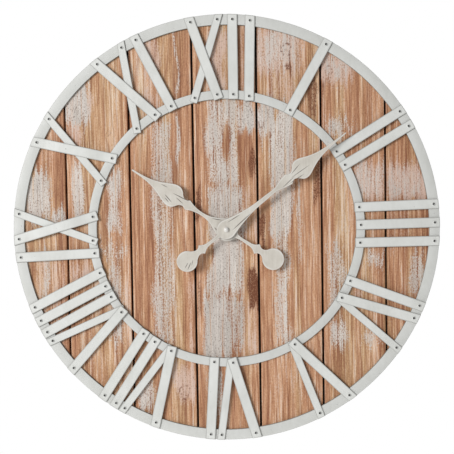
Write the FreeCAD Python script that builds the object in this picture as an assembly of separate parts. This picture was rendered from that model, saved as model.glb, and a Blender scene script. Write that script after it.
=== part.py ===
import FreeCAD, Part
import math
import os

os.makedirs("parts", exist_ok=True)
V = FreeCAD.Vector

# Large round wall clock. Millimetres, +Z up, the dial faces -Y and the wall is the plane y = 0.
# Everything is drawn about the dial's centre axis, and save() then lowers it by hanger_height,
# so that the origin is the keyhole of the hanger on the wall plane.

# ---- driving dimensions: dial and frame ----
dial_radius = 300.0          # outside of the outer ring
outer_ring_width = 14.7
inner_ring_radius = 195.2    # outside of the inner ring
inner_ring_width = 12.5
ring_thickness = 3.0
bar_thickness = 1.5
stroke_width = 14.0          # the heavy strokes of a numeral
thin_stroke_width = 10.8     # the light stroke of an X or a V
bar_end_overhang = 6.8       # bar beyond its inner rivet
bar_corner = 1.2             # rounding of the bar's inner corners
joggle_run = 6.0             # length over which a bar steps over another
lap_margin = 1.0             # raised stretch beyond the bar that lies under it
frame_turn = -1.0            # degrees that the frame sits turned against the planks
rivet_shank_radius = 1.4
rivet_head_radius = 2.2
rivet_head_height = 1.1

# ---- driving dimensions: wooden dial ----
plank_count = 7
plank_pitch = 90.0
plank_gap = 3.0
plank_thickness = 10.0
plank_edge_chamfer = 0.8
rim_overhang = 3.0           # ring beyond the planks
backing_to_screw_heads = 0.25  # edge of the backing disc to the heads of the outer ring's screws
backing_thickness = 3.0
batten_width = 40.0
batten_edge_chamfer = 1.0
hanger_height = 150.0        # dial centre up to the middle of the upper batten and its keyhole
batten_end_margin = 22.7
pad_thickness = 1.5
pad_radius = 8.0
pad_margin = 4.0             # pad to the end of its batten
wood_screw_radius = 1.75
wood_screw_head_radius = 3.6
wood_screw_head_depth = 2.6
wood_screw_bite = 6.5        # depth that a screw reaches into a plank
wood_screw_spread = 24.0     # between the two screws of one plank and batten
frame_screw_radius = 2.0
frame_screw_head_radius = 3.6
frame_screw_head_height = 2.2
frame_screw_bite = 2.4       # depth of thread in a ring
outer_screw_count = 12
outer_screw_start = 15.0     # degrees, halfway between two numerals
inner_screw_angles = (72.0, 106.0, 256.0, 285.0)  # between numerals and clear of the battens
wood_screw_point = 3.0       # length of the tapered tip

# ---- driving dimensions: hanger ----
hanger_length = 70.0
hanger_plate_width = 24.0
keyhole_radius = 5.0
keyhole_slot_width = 5.0
keyhole_slot_length = 10.0
hanger_screw_spacing = 54.0
hanger_screw_radius = 1.5
hanger_screw_head_radius = 3.0
hanger_screw_length = 14.0
hanger_plate_rise = 3.0      # middle of the plate above the keyhole
hanger_plate_corner = 4.0
pocket_depth = 8.0
pocket_margin = 1.5          # pocket in the batten beyond the keyhole

# ---- driving dimensions: hands ----
hand_thickness = 1.0
hour_hand_angle = -56.7      # clockwise from upright, at about eight and a half minutes past ten
minute_hand_angle = 51.9
bar_to_hour_hand = 2.3       # from the highest rivet head to the hour hand
hand_spacing = 3.0           # from the front of the hour hand to the back of the minute hand
hour_tube_radius = 2.9
minute_arbor_radius = 1.65
arbor_thread_radius = 1.5
cap_nut_radius = 3.6
cap_nut_height = 4.0
cap_nut_crown = 1.4          # solid crown over the tip of the arbor
collet_wall = 2.2
hour_tube_beyond_hand = 0.3
hour_collet_length = 2.0
minute_collet_length = 1.8
running_clearance = 0.06

# ---- driving dimensions: movement ----
gasket_thickness = 0.5
gasket_radius = 12.0
case_width = 56.0
case_top = 26.0
case_corner = 3.0
case_wall = 1.5
cover_thickness = 1.5
cover_clearance = 0.1
cover_ledge = 0.8
bush_radius = 4.0
bush_hole_clearance = 0.6
bush_flange_radius = 6.0
bush_flange_thickness = 0.7
bush_thread_beyond_nut = 1.5
nut_across_flats = 12.0
nut_height = 3.0
washer_radius = 8.5
washer_bore_clearance = 0.2
washer_thickness = 0.8
plate_thickness = 1.0
post_radius = 2.0
post_inset = 2.6             # post axis from the inside of the case
plate_screw_radius = 0.8
plate_screw_length = 6.0
plate_screw_head_radius = 1.5
plate_screw_head_height = 0.8
battery_radius = 7.15
battery_length = 50.5
battery_play = 0.35
battery_rim = 0.5
battery_tip_radius = 2.7
battery_tip_length = 1.2
bay_floor = 0.8              # case front under the battery
bay_front_play = 0.1
bay_rear_recess = 0.3        # battery inside the back of the case
bay_wall = 1.8               # case below the battery bay
wheel_to_shelf = 1.852       # hour wheel to the shelf above the battery
contact_thickness = 0.5
contact_half_height = 4.5
contact_front_margin = 1.4
contact_rear_margin = 1.0
board_thickness = 0.8
chip_radius = 3.2
chip_height = 0.9
chip_to_cover = 0.1
board_left, board_right = -22.0, -2.0
board_low, board_high = 8.0, 21.0
knob_shaft_radius = 1.0
knob_shaft_clearance = 0.08
knob_radius = 5.0
knob_height = 1.6
knob_gap = 0.2               # from the case to the knob
knob_recess = 0.2            # knob inside the back of the battens
knob_flutes = 24
knob_flute_radius = 0.45
coil_cheek_radius = 3.2
coil_cheek_thickness = 0.8
coil_cheek_rise = 0.6        # cheek above the winding
coil_left, coil_right = 1.0, 20.0
coil_to_wall = 0.4
magnet_radius = 2.6
magnet_front, magnet_rear = 0.6, 1.4  # magnet before and behind the front of the stator
stator_depth = 7.4
stator_thickness = 0.8
stator_gap = 0.35
stator_rim = 1.2
stator_arm = 2.4
stator_to_cheek = 0.3
stator_foot_drop = 3.2

# ---- driving dimensions: wheels ----
pressure_angle = math.radians(20.0)
tooth_slack = 0.84           # tooth thickness against a tooth with no backlash
addendum, dedendum = 0.62, 0.95  # stub teeth, in modules
motion_module = 0.4
rotor_module = 0.25
# tooth counts of the motion work, twelve to one from minute to hour
cannon_teeth, minute_wheel_teeth = 15, 45
minute_pinion_teeth, hour_wheel_teeth = 12, 48
# tooth counts of the going train, from the rotor to the centre wheel
rotor_teeth, intermediate_teeth = 10, 60
intermediate_pinion_teeth, second_teeth = 12, 60
second_pinion_teeth, third_teeth = 10, 75
third_pinion_teeth, centre_teeth = 10, 80
pivot_radius = 0.5
pivot_clearance = 0.05
pivot_socket = 0.9           # depth of a pivot hole in the case front or the minute arbor
pivot_end_play = 0.2
arbor_radius = 0.8
arbor_shoulder = 0.1         # arbor to the bearing plate
third_clearance = 0.602      # third arbor beside the hour wheel
intermediate_clearance = 0.872
clutch_radius = 1.2
clutch_gap = 0.35            # shoulder of the minute arbor to the centre wheel
clutch_overlap = 0.3         # minute arbor beyond the centre wheel
clutch_washer_gap = 0.1
cannon_shoulder = 0.1
clutch_washer_radius = 3.2
clutch_washer_thickness = 0.2
wheel_thickness = 0.8
pinion_margin = 0.2          # pinion beyond its wheel on each side
# layers of the train, as depths behind the front of the case
layer = {
    "hour_wheel": 2.0, "minute_wheel": 3.5, "centre_wheel": 5.2, "third_wheel": 6.6,
    "second_wheel": 8.2, "intermediate_wheel": 9.7, "bearing_plate": 11.2,
}

# ---- sizes that follow from the movement ----
hour_wheel_tip = motion_module * (hour_wheel_teeth / 2 + addendum)
battery_height = -(hour_wheel_tip + wheel_to_shelf + case_wall + battery_play + battery_radius)
bay_top = battery_height + battery_radius + battery_play
bay_bottom = battery_height - battery_radius - battery_play
shelf_top = bay_top + case_wall
case_bottom = bay_bottom - bay_wall
bay_depth = bay_floor + bay_front_play + 2 * battery_radius + bay_rear_recess
train_depth = layer["bearing_plate"] + plate_thickness + board_thickness + chip_height + chip_to_cover
case_depth = max(bay_depth, train_depth + cover_thickness)
batten_thickness = gasket_thickness + case_depth + knob_gap + knob_height + knob_recess
pivot_start = case_wall - pivot_socket + pivot_end_play  # depth of the front pivots

# ---- depths that follow, from the wall forwards ----
y_batten_rear = -pad_thickness
y_batten_front = y_batten_rear - batten_thickness
y_backing_front = y_batten_front - backing_thickness
y_plank_front = y_backing_front - plank_thickness
y_ring_front = y_plank_front - ring_thickness
y_bar_front = y_ring_front - bar_thickness
y_rivet_top = y_bar_front - bar_thickness - rivet_head_height
y_hour_back = y_rivet_top - bar_to_hour_hand
y_hour_front = y_hour_back - hand_thickness
y_minute_back = y_hour_front - hand_spacing
y_minute_front = y_minute_back - hand_thickness
y_cap_top = y_minute_front - cap_nut_height
y_arbor_tip = y_cap_top + cap_nut_crown
y_bush_tip = y_plank_front - washer_thickness - nut_height - bush_thread_beyond_nut
y_case_front = y_batten_front + gasket_thickness
y_case_rear = y_case_front + case_depth
outer_rivet_circle = dial_radius - outer_ring_width / 2
backing_radius = outer_rivet_circle - frame_screw_head_radius - backing_to_screw_heads
inner_rivet_circle = inner_ring_radius - inner_ring_width / 2
plank_radius = dial_radius - rim_overhang


# ---- small helpers ----
def save(name, shape):
    shape = shape.copy()
    shape.translate(V(0, 0, -hanger_height))
    shape.exportStep("parts/" + name + ".step")


def disc(x, z, radius, y_front, y_rear):
    return Part.makeCylinder(radius, y_rear - y_front, V(x, y_front, z), V(0, 1, 0))


def tube(x, z, outer, inner, y_front, y_rear):
    return disc(x, z, outer, y_front, y_rear).cut(disc(x, z, inner, y_front, y_rear))


def block(x0, x1, y_front, y_rear, z0, z1):
    return Part.makeBox(x1 - x0, y_rear - y_front, z1 - z0, V(x0, y_front, z0))


def prism(points, y_front, y_rear):
    corners = [V(x, y_front, z) for x, z in points]
    face = Part.Face(Part.makePolygon(corners + corners[:1]))
    return face.extrude(V(0, y_rear - y_front, 0))


def turned(profile, x=0.0, z=0.0):
    # a closed (radius, y) outline turned about an axis along Y
    corners = [V(x + r, y, z) for r, y in profile]
    face = Part.Face(Part.makePolygon(corners + corners[:1]))
    return face.revolve(V(x, 0, z), V(0, 1, 0), 360)


def dome(x, z, radius, height, y_base):
    # a button head: a cap of a sphere standing forwards from y_base
    ball_radius = (radius ** 2 + height ** 2) / (2 * height)
    ball = Part.makeSphere(ball_radius, V(x, y_base - height + ball_radius, z))
    return ball.common(disc(x, z, radius + 1, y_base - height - 1, y_base))


def at_angles(radius, degrees):
    # places on a circle, clockwise from upright
    return [(radius * math.sin(math.radians(a)), radius * math.cos(math.radians(a))) for a in degrees]


def around(radius, count, start=0.0):
    return at_angles(radius, [start + 360.0 * k / count for k in range(count)])


def joined(shapes):
    result = shapes[0]
    for shape in shapes[1:]:
        result = result.fuse(shape)
    return result.removeSplitter()


# ---- numerals: flat bars between the two rings ----
# A stroke is (kind, outer offset, inner offset): how far its two rivets stand from the hour line,
# clockwise positive. I is a plain stroke, O a heavy stroke that lies over a light one, X the light
# stroke that an O crosses, V the light stroke whose inner end lies under the O and shares its rivet.
# The offsets are given on these two circles, and spread with the rivet circles.
drawn_outer_circle = 292.65
drawn_inner_circle = 188.95
numerals = {
    "I": [("I", 1.0, 0.0)],
    "II": [("I", -12.0, -11.0), ("I", 12.0, 11.0)],
    "III": [("I", -26.0, -25.0), ("I", 0.0, 0.0), ("I", 26.0, 25.0)],
    "IV": [("I", -33.0, -18.0), ("V", 34.5, 12.0), ("O", -14.0, 8.5)],
    "V": [("V", 25.5, 7.5), ("O", -23.5, 4.0)],
    "VI": [("V", 16.5, 0.5), ("O", -32.0, -3.0), ("I", 32.0, 23.5)],
    "VII": [("V", 8.0, -8.5), ("O", -41.0, -12.0), ("I", 22.0, 14.5), ("I", 41.5, 34.0)],
    "VIII": [("V", -4.0, -17.5), ("O", -52.5, -21.0), ("I", 10.5, 5.0), ("I", 29.0, 22.0), ("I", 49.5, 42.0)],
    "IX": [("I", -30.0, -27.5), ("X", 31.5, -9.5), ("O", -4.0, 24.0)],
    "X": [("X", 19.5, -22.5), ("O", -17.5, 12.5)],
    "XI": [("X", 10.0, -32.0), ("O", -31.0, 0.0), ("I", 32.5, 25.5)],
    "XII": [("X", -3.0, -38.0), ("O", -40.5, -6.5), ("I", 18.0, 16.0), ("I", 42.5, 38.0)],
}
hour_names = ["I", "II", "III", "IV", "V", "VI", "VII", "VIII", "IX", "X", "XI", "XII"]


def rivet_place(offset, circle, drawn_circle):
    x = offset * circle / drawn_circle
    return (x, math.sqrt(circle ** 2 - x ** 2))


def outer_place(stroke):
    return rivet_place(stroke[1], outer_rivet_circle, drawn_outer_circle)


def inner_place(stroke):
    return rivet_place(stroke[2], inner_rivet_circle, drawn_inner_circle)


def stroke_line(stroke):
    start, end = inner_place(stroke), outer_place(stroke)
    return start, math.atan2(end[0] - start[0], end[1] - start[1]), math.dist(start, end)


def lap_zone(over, under):
    # the stretch along the heavy stroke that lies over the light one, from its inner rivet
    (x0, z0), lean, _ = stroke_line(over)
    (x1, z1), other_lean, _ = stroke_line(under)
    angle = lean - other_lean
    meet = ((x1 - x0) * math.cos(other_lean) - (z1 - z0) * math.sin(other_lean)) / math.sin(angle)
    across = thin_stroke_width / 2 + stroke_width / 2 * abs(math.cos(angle))
    half = across / abs(math.sin(angle)) + lap_margin
    return meet - half, meet + half


def bar(stroke, strokes):
    # a flat bar drawn along +Z from its inner rivet, then leaned and moved to its place
    start, lean, length = stroke_line(stroke)
    width = stroke_width if stroke[0] in "IO" else thin_stroke_width
    s_end = length + outer_ring_width + stroke_width
    low = [(-bar_end_overhang, 0.0), (s_end, 0.0)]
    if stroke[0] == "O":
        under = [other for other in strokes if other[0] in "XV"][0]
        lap_start, lap_end = lap_zone(stroke, under)
        step = [(lap_end, bar_thickness), (lap_end + joggle_run, 0.0), (s_end, 0.0)]
        if under[0] == "V":
            low = [(-bar_end_overhang, bar_thickness)] + step
        else:
            low = [low[0], (lap_start - joggle_run, 0.0), (lap_start, bar_thickness)] + step
    side = low + [(s, h + bar_thickness) for s, h in reversed(low)]
    corners = [V(-width / 2, y_ring_front - h, s) for s, h in side]
    shape = Part.Face(Part.makePolygon(corners + corners[:1])).extrude(V(width, 0, 0))
    inner_corners = [
        edge for edge in shape.Edges
        if abs(edge.CenterOfMass.z + bar_end_overhang) < 0.01
        and abs(abs(edge.CenterOfMass.x) - width / 2) < 0.01
    ]
    shape = shape.makeFillet(bar_corner, inner_corners)
    shape.rotate(V(0, 0, 0), V(0, 1, 0), math.degrees(lean))
    shape.translate(V(start[0], 0, start[1]))
    return shape


def turn_to_hour(shape, hour):
    shape = shape.copy()
    shape.rotate(V(0, 0, 0), V(0, 1, 0), 30.0 * hour + frame_turn)
    return shape


def rivet_list(strokes):
    # place and height of each rivet of one numeral: (x, z, y of the face under its head)
    inner, outer = [], []
    lapped = any(stroke[0] == "V" for stroke in strokes)
    for stroke in strokes:
        outer.append(outer_place(stroke) + (y_bar_front,))
        if stroke[0] == "V":
            continue
        raised = bar_thickness if stroke[0] == "O" and lapped else 0.0
        inner.append(inner_place(stroke) + (y_bar_front - raised,))
    return inner, outer


def rivet_shank(place):
    return disc(place[0], place[1], rivet_shank_radius, place[2], y_plank_front)


def rivet(place):
    x, z, seat = place
    return rivet_shank(place).fuse(dome(x, z, rivet_head_radius, rivet_head_height, seat))


def make_numerals():
    rim = disc(0, 0, dial_radius, y_bar_front - 5, y_plank_front)
    inner_rivets, outer_rivets, shanks = [], [], []
    for name in hour_names:
        strokes = numerals[name]
        hour = hour_names.index(name) + 1
        inner, outer = rivet_list(strokes)
        holes = Part.makeCompound([rivet_shank(place) for place in inner + outer])
        bars = [bar(stroke, strokes).common(rim).cut(holes) for stroke in strokes]
        save("numeral_" + name, turn_to_hour(Part.makeCompound(bars), hour))
        inner_rivets += [turn_to_hour(rivet(place), hour) for place in inner]
        outer_rivets += [turn_to_hour(rivet(place), hour) for place in outer]
        shanks.append(turn_to_hour(holes, hour))
    save("rivets_inner", Part.makeCompound(inner_rivets))
    save("rivets_outer", Part.makeCompound(outer_rivets))
    return Part.makeCompound(shanks)


# ---- rings and the screws that hold them ----
def frame_screw(x, z, y_seat):
    head = dome(x, -z, frame_screw_head_radius, frame_screw_head_height, -y_seat)
    head.rotate(V(0, 0, 0), V(1, 0, 0), 180)
    tip = y_plank_front - frame_screw_bite
    return head.fuse(disc(x, z, frame_screw_radius, tip, y_seat))


def make_rings(rivet_holes):
    outer_places = around(outer_rivet_circle, outer_screw_count, outer_screw_start)
    inner_places = at_angles(inner_rivet_circle, inner_screw_angles)
    outer_screws = [frame_screw(x, z, y_backing_front) for x, z in outer_places]
    inner_screws = [frame_screw(x, z, y_batten_front) for x, z in inner_places]
    screws = Part.makeCompound(outer_screws + inner_screws)
    outer = tube(0, 0, dial_radius, dial_radius - outer_ring_width, y_ring_front, y_plank_front)
    inner = tube(0, 0, inner_ring_radius, inner_ring_radius - inner_ring_width, y_ring_front, y_plank_front)
    save("outer_ring", outer.cut(rivet_holes).cut(screws))
    save("inner_ring", inner.cut(rivet_holes).cut(screws))
    save("frame_screws", screws)
    return screws


# ---- wooden dial, battens and hanger ----
def wood_screw(x, z):
    # countersunk head flush with the back of the batten
    shank_end = y_backing_front - wood_screw_bite
    point = shank_end + wood_screw_point
    neck = y_batten_rear - wood_screw_head_depth
    return turned([
        (0.0, y_batten_rear), (wood_screw_head_radius, y_batten_rear), (wood_screw_radius, neck),
        (wood_screw_radius, point), (0.0, shank_end)], x, z)


def wood_screw_places():
    places = []
    reach = batten_half_length() - wood_screw_head_radius - 2.0
    for k in range(plank_count):
        middle = (k - (plank_count - 1) / 2) * plank_pitch
        for side in (-0.5, 0.5):
            x = middle + side * wood_screw_spread
            if abs(x) > reach:
                continue
            tilt = side * (batten_width - 2 * pad_radius)
            places += [(x, hanger_height + tilt), (x, -hanger_height - tilt)]
    near_plate = hanger_length / 2 + wood_screw_head_radius
    return [(x, z) for x, z in places if abs(x) > near_plate or z < 0]


def batten_half_length():
    far_edge = hanger_height + batten_width / 2
    return math.sqrt(backing_radius ** 2 - far_edge ** 2) - batten_end_margin


def hanger_screw(x):
    neck = -pad_thickness
    return turned([
        (0.0, 0.0), (hanger_screw_head_radius, 0.0), (hanger_screw_radius, neck),
        (hanger_screw_radius, -hanger_screw_length + wood_screw_point), (0.0, -hanger_screw_length)],
        x, hanger_height)


def make_wood(frame_screws):
    wood_screws = Part.makeCompound([wood_screw(x, z) for x, z in wood_screw_places()])
    shaft_hole = disc(0, 0, bush_radius + bush_hole_clearance, y_plank_front, y_batten_front)
    fixings = [frame_screws, wood_screws, shaft_hole]
    whole = disc(0, 0, plank_radius, y_plank_front, y_backing_front)
    for k in range(plank_count):
        left = (k - plank_count / 2) * plank_pitch + plank_gap / 2
        right = (k - plank_count / 2 + 1) * plank_pitch - plank_gap / 2
        if k == 0:
            left = -plank_radius - 1
        if k == plank_count - 1:
            right = plank_radius + 1
        c = plank_edge_chamfer
        section = [
            (left, y_backing_front), (right, y_backing_front), (right, y_plank_front + c),
            (right - c, y_plank_front), (left + c, y_plank_front), (left, y_plank_front + c)]
        corners = [V(x, y, -plank_radius) for x, y in section]
        board = Part.Face(Part.makePolygon(corners + corners[:1])).extrude(V(0, 0, 2 * plank_radius))
        save("plank_%d" % (k + 1), board.common(whole).cut(fixings))
    backing = disc(0, 0, backing_radius, y_backing_front, y_batten_front)
    save("backing_disc", backing.cut(fixings))
    save("batten_screws", wood_screws)

    screws = Part.makeCompound([hanger_screw(side * hanger_screw_spacing / 2) for side in (-1, 1)])
    slot = keyhole(keyhole_radius, keyhole_slot_width / 2, -pad_thickness, 0.0)
    pocket_radius = keyhole_radius + pocket_margin
    pocket = keyhole(pocket_radius, pocket_radius, y_batten_rear - pocket_depth, y_batten_rear)
    half = batten_half_length()
    names = {"upper_batten": 1, "lower_batten": -1}
    for name, side in names.items():
        low = side * hanger_height - batten_width / 2
        batten = block(-half, half, y_batten_front, y_batten_rear, low, low + batten_width)
        long_edges = [e for e in batten.Edges if e.Length > 2 * half - 1]
        batten = batten.makeChamfer(batten_edge_chamfer, long_edges).cut(wood_screws).cut(screws).cut(pocket)
        save(name, batten)
    plate_middle = hanger_height + hanger_plate_rise
    plate = block(-hanger_length / 2, hanger_length / 2, -pad_thickness, 0.0,
                  plate_middle - hanger_plate_width / 2, plate_middle + hanger_plate_width / 2)
    ends = [e for e in plate.Edges if abs(e.Length - pad_thickness) < 0.01]
    save("hanger_plate", plate.makeFillet(hanger_plate_corner, ends).cut(slot).cut(screws))
    save("hanger_screws", screws)
    pad_x = half - pad_radius - pad_margin
    pads = [disc(x * pad_x, z * hanger_height, pad_radius, y_batten_rear, 0.0)
            for x in (-1, 1) for z in (-1, 1)]
    save("wall_pads", Part.makeCompound(pads))


def keyhole(head_radius, slot_radius, y_front, y_rear):
    # round hole for the screw head with a slot above it for the shank
    top = hanger_height + keyhole_slot_length
    head = disc(0, hanger_height, head_radius, y_front, y_rear)
    slot = block(-slot_radius, slot_radius, y_front, y_rear, hanger_height, top)
    return joined([head, slot, disc(0, top, slot_radius, y_front, y_rear)])


# ---- hands ----
# A hand is drawn along +Z as pairs (distance from the centre, half width). Each inner list is one
# smooth stretch of its edge, and the stretches meet in corners.
hour_hand_edge = [
    [(155.0, 1.3), (138.0, 1.9), (122.0, 4.4), (104.0, 11.2), (93.0, 15.6), (84.5, 15.6), (78.5, 11.2),
     (74.0, 6.2), (69.0, 5.2), (64.3, 7.6)],
    [(64.3, 7.6), (56.0, 4.4), (46.0, 2.6), (36.0, 2.6), (26.0, 4.6), (14.0, 10.4), (4.0, 15.4)],
]
hour_hub_radius = 16.2
hour_tail_edge = [
    [(-16.8, 3.6), (-21.0, 2.5), (-34.0, 2.4), (-44.0, 3.4), (-51.0, 8.1)],
    [(-51.0, 8.1), (-54.5, 5.0), (-59.0, 4.3), (-64.2, 7.4)],
]
hour_disc = (-77.7, 15.4)
minute_hand_edge = [
    [(213.0, 0.9), (196.0, 1.7), (176.0, 3.0), (160.0, 6.0), (146.0, 11.4), (137.0, 14.6), (129.0, 13.4),
     (123.0, 7.6), (117.5, 5.2), (112.0, 8.4)],
    [(112.0, 8.4), (101.0, 6.4), (90.0, 3.2), (76.0, 3.0), (58.0, 3.4), (38.0, 5.2), (16.0, 9.8),
     (5.0, 12.8)],
]
minute_hub_radius = 13.4
minute_tail_edge = [
    [(-13.6, 3.2), (-18.0, 2.4), (-29.0, 2.4), (-37.0, 3.4), (-44.0, 7.6)],
    [(-44.0, 7.6), (-47.0, 4.8), (-51.0, 4.3), (-57.6, 7.6)],
]
minute_disc = (-70.6, 14.7)


def hand_outline(blade, hub_radius, tail, counterweight):
    # one side of the edge, from the tip round the hub to the counterweight, then mirrored
    centre, radius = counterweight
    edges = [smooth(part) for part in blade]
    edges.append(hub_arc(blade[-1][-1], tail[0][0], hub_radius))
    edges += [smooth(part) for part in tail]
    start = tail[-1][-1]
    side = V(radius, 0, centre)
    edges.append(Part.Arc(V(start[1], 0, start[0]), side, V(0, 0, centre - radius)).toShape())
    half = Part.Wire(edges)
    other = half.mirror(V(0, 0, 0), V(1, 0, 0))
    tip_s, tip_w = blade[0][0]
    tip = Part.Arc(V(tip_w, 0, tip_s), V(0, 0, tip_s + tip_w), V(-tip_w, 0, tip_s)).toShape()
    return Part.Face(Part.Wire(Part.__sortEdges__(half.Edges + other.Edges + [tip])))


def smooth(points):
    curve = Part.BSplineCurve()
    curve.interpolate([V(w, 0, s) for s, w in points])
    return curve.toShape()


def hub_arc(start, end, radius):
    a0 = math.atan2(start[1], start[0])
    a1 = math.atan2(end[1], end[0])
    middle = (a0 + a1) / 2
    return Part.Arc(V(start[1], 0, start[0]), V(radius * math.sin(middle), 0, radius * math.cos(middle)),
                    V(end[1], 0, end[0])).toShape()


def hand(face, y_back, hole_radius, angle):
    shape = face.extrude(V(0, hand_thickness, 0))
    shape.translate(V(0, y_back - hand_thickness, 0))
    shape = shape.cut(disc(0, 0, hole_radius, y_back - hand_thickness, y_back))
    shape.rotate(V(0, 0, 0), V(0, 1, 0), angle)
    return shape


def make_hands():
    hour_face = hand_outline(hour_hand_edge, hour_hub_radius, hour_tail_edge, hour_disc)
    minute_face = hand_outline(minute_hand_edge, minute_hub_radius, minute_tail_edge, minute_disc)
    save("hour_hand", hand(hour_face, y_hour_back, hour_tube_radius, hour_hand_angle))
    save("minute_hand", hand(minute_face, y_minute_back, arbor_thread_radius, minute_hand_angle))
    save("hour_collet", tube(0, 0, hour_tube_radius + collet_wall, hour_tube_radius, y_hour_back,
                             y_hour_back + hour_collet_length))
    save("minute_collet", tube(0, 0, minute_arbor_radius + collet_wall, minute_arbor_radius, y_minute_back,
                               y_minute_back + minute_collet_length))
    cap = dome(0, 0, cap_nut_radius, cap_nut_height, y_minute_front)
    save("cap_nut", cap.cut(disc(0, 0, arbor_thread_radius, y_arbor_tip, y_minute_front)))


# ---- gears ----
def involute(angle):
    return math.tan(angle) - angle


def gear_face(teeth, module, phase, y_front, y_rear):
    # stub involute teeth; phase is the angle of one tooth's middle, anticlockwise from +X in x, z
    pitch_radius = module * teeth / 2
    base_radius = pitch_radius * math.cos(pressure_angle)
    tip_radius = pitch_radius + addendum * module
    root_radius = pitch_radius - dedendum * module
    flank = [max(base_radius, root_radius), pitch_radius, tip_radius]
    half_at_pitch = tooth_slack * math.pi / (2 * teeth)
    side = []
    for radius in flank:
        angle = math.acos(min(1.0, base_radius / radius))
        side.append((radius, half_at_pitch + involute(pressure_angle) - involute(angle)))
    if base_radius > root_radius:
        side = [(root_radius, side[0][1])] + side
    points = []
    for k in range(teeth):
        middle = phase + 2 * math.pi * k / teeth
        for radius, half in side:
            points.append((radius * math.cos(middle - half), radius * math.sin(middle - half)))
        for radius, half in reversed(side):
            points.append((radius * math.cos(middle + half), radius * math.sin(middle + half)))
    return prism(points, y_front, y_rear)


def gear(place, teeth, module, phase, y_front, y_rear):
    shape = gear_face(teeth, module, phase, y_front, y_rear)
    shape.translate(V(place[0], 0, place[1]))
    return shape


def meshing_phase(place, teeth, phase, other_place, other_teeth):
    # the phase that puts the other gear's tooth gap on this gear's tooth, along their centre line
    line = math.atan2(other_place[1] - place[1], other_place[0] - place[0])
    part = ((line - phase) / (2 * math.pi / teeth)) % 1.0
    return line + math.pi - (0.5 - part) * 2 * math.pi / other_teeth


def polar(centre, distance, degrees):
    angle = math.radians(degrees)
    return (centre[0] + distance * math.cos(angle), centre[1] + distance * math.sin(angle))


# The third and intermediate arbors stand beside the hour wheel, and the modules follow.
centre = (0.0, 0.0)
minute_wheel_place = polar(centre, motion_module * (cannon_teeth + minute_wheel_teeth) / 2, 60.0)
third_distance = hour_wheel_tip + arbor_radius + third_clearance
centre_module = 2 * third_distance / (third_pinion_teeth + centre_teeth)
third_module = 2 * third_distance / (second_pinion_teeth + third_teeth)
third_place = polar(centre, third_distance, 150.0)
intermediate_distance = hour_wheel_tip + arbor_radius + intermediate_clearance
second_module = 2 * intermediate_distance / (intermediate_pinion_teeth + second_teeth)
intermediate_place = polar(centre, intermediate_distance, 0.0)
rotor_place = polar(intermediate_place, rotor_module * (rotor_teeth + intermediate_teeth) / 2, 30.0)


def deep(depth):
    return y_case_front + depth


def wheel_at(place, teeth, module, phase, name):
    return gear(place, teeth, module, phase, deep(layer[name]), deep(layer[name] + wheel_thickness))


def pinion_at(place, teeth, module, phase, name):
    start = deep(layer[name] - pinion_margin)
    return gear(place, teeth, module, phase, start, deep(layer[name] + wheel_thickness + pinion_margin))


def arbor(place):
    # a stout arbor with a finer pivot at each end, from the case front to the back of the bearing plate
    rear = layer["bearing_plate"]
    body = disc(place[0], place[1], arbor_radius, deep(case_wall + arbor_shoulder),
                deep(rear - arbor_shoulder))
    pivots = disc(place[0], place[1], pivot_radius, deep(pivot_start), deep(rear + plate_thickness))
    return body.fuse(pivots)


def make_motion_work():
    cannon_phase = 0.0
    y_pinion = deep(layer["minute_wheel"] - pinion_margin)
    rear = deep(layer["centre_wheel"] + wheel_thickness + clutch_overlap)
    clutch_seat = deep(layer["centre_wheel"] - clutch_gap)
    minute = joined([
        disc(0, 0, minute_arbor_radius, y_minute_back, clutch_seat),
        disc(0, 0, arbor_thread_radius, y_arbor_tip, y_minute_back),
        gear(centre, cannon_teeth, motion_module, cannon_phase, y_pinion, clutch_seat - cannon_shoulder),
        disc(0, 0, clutch_radius, clutch_seat, rear)])
    minute = minute.cut(disc(0, 0, pivot_radius + pivot_clearance, rear - pivot_socket, rear))
    save("minute_arbor", minute)

    wheel_phase = meshing_phase(centre, cannon_teeth, cannon_phase, minute_wheel_place, minute_wheel_teeth)
    x, z = minute_wheel_place
    knob_front = y_case_rear + knob_gap
    knob_rear = knob_front + knob_height
    y_wheel = deep(layer["minute_wheel"])
    pinion = gear(minute_wheel_place, minute_pinion_teeth, motion_module, 0.0,
                  deep(layer["hour_wheel"] - pinion_margin), y_wheel)
    wheel = wheel_at(minute_wheel_place, minute_wheel_teeth, motion_module, wheel_phase, "minute_wheel")
    save("minute_wheel", joined([
        wheel, pinion, disc(x, z, pivot_radius, deep(pivot_start), y_wheel),
        disc(x, z, knob_shaft_radius, y_wheel, knob_front)]))
    knob = disc(x, z, knob_radius, knob_front, knob_rear)
    flutes = [disc(x + dx, z + dz, knob_flute_radius, knob_front, knob_rear)
              for dx, dz in around(knob_radius, knob_flutes)]
    save("setting_knob", knob.cut(flutes))

    hour_phase = meshing_phase(minute_wheel_place, minute_pinion_teeth, 0.0, centre, hour_wheel_teeth)
    hour = wheel_at(centre, hour_wheel_teeth, motion_module, hour_phase, "hour_wheel")
    tube_front = y_hour_front - hour_tube_beyond_hand
    hour_tube = disc(0, 0, hour_tube_radius, tube_front, deep(layer["hour_wheel"]))
    bore = disc(0, 0, minute_arbor_radius + running_clearance, tube_front,
                deep(layer["hour_wheel"] + wheel_thickness))
    save("hour_wheel", joined([hour, hour_tube]).cut(bore))


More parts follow.
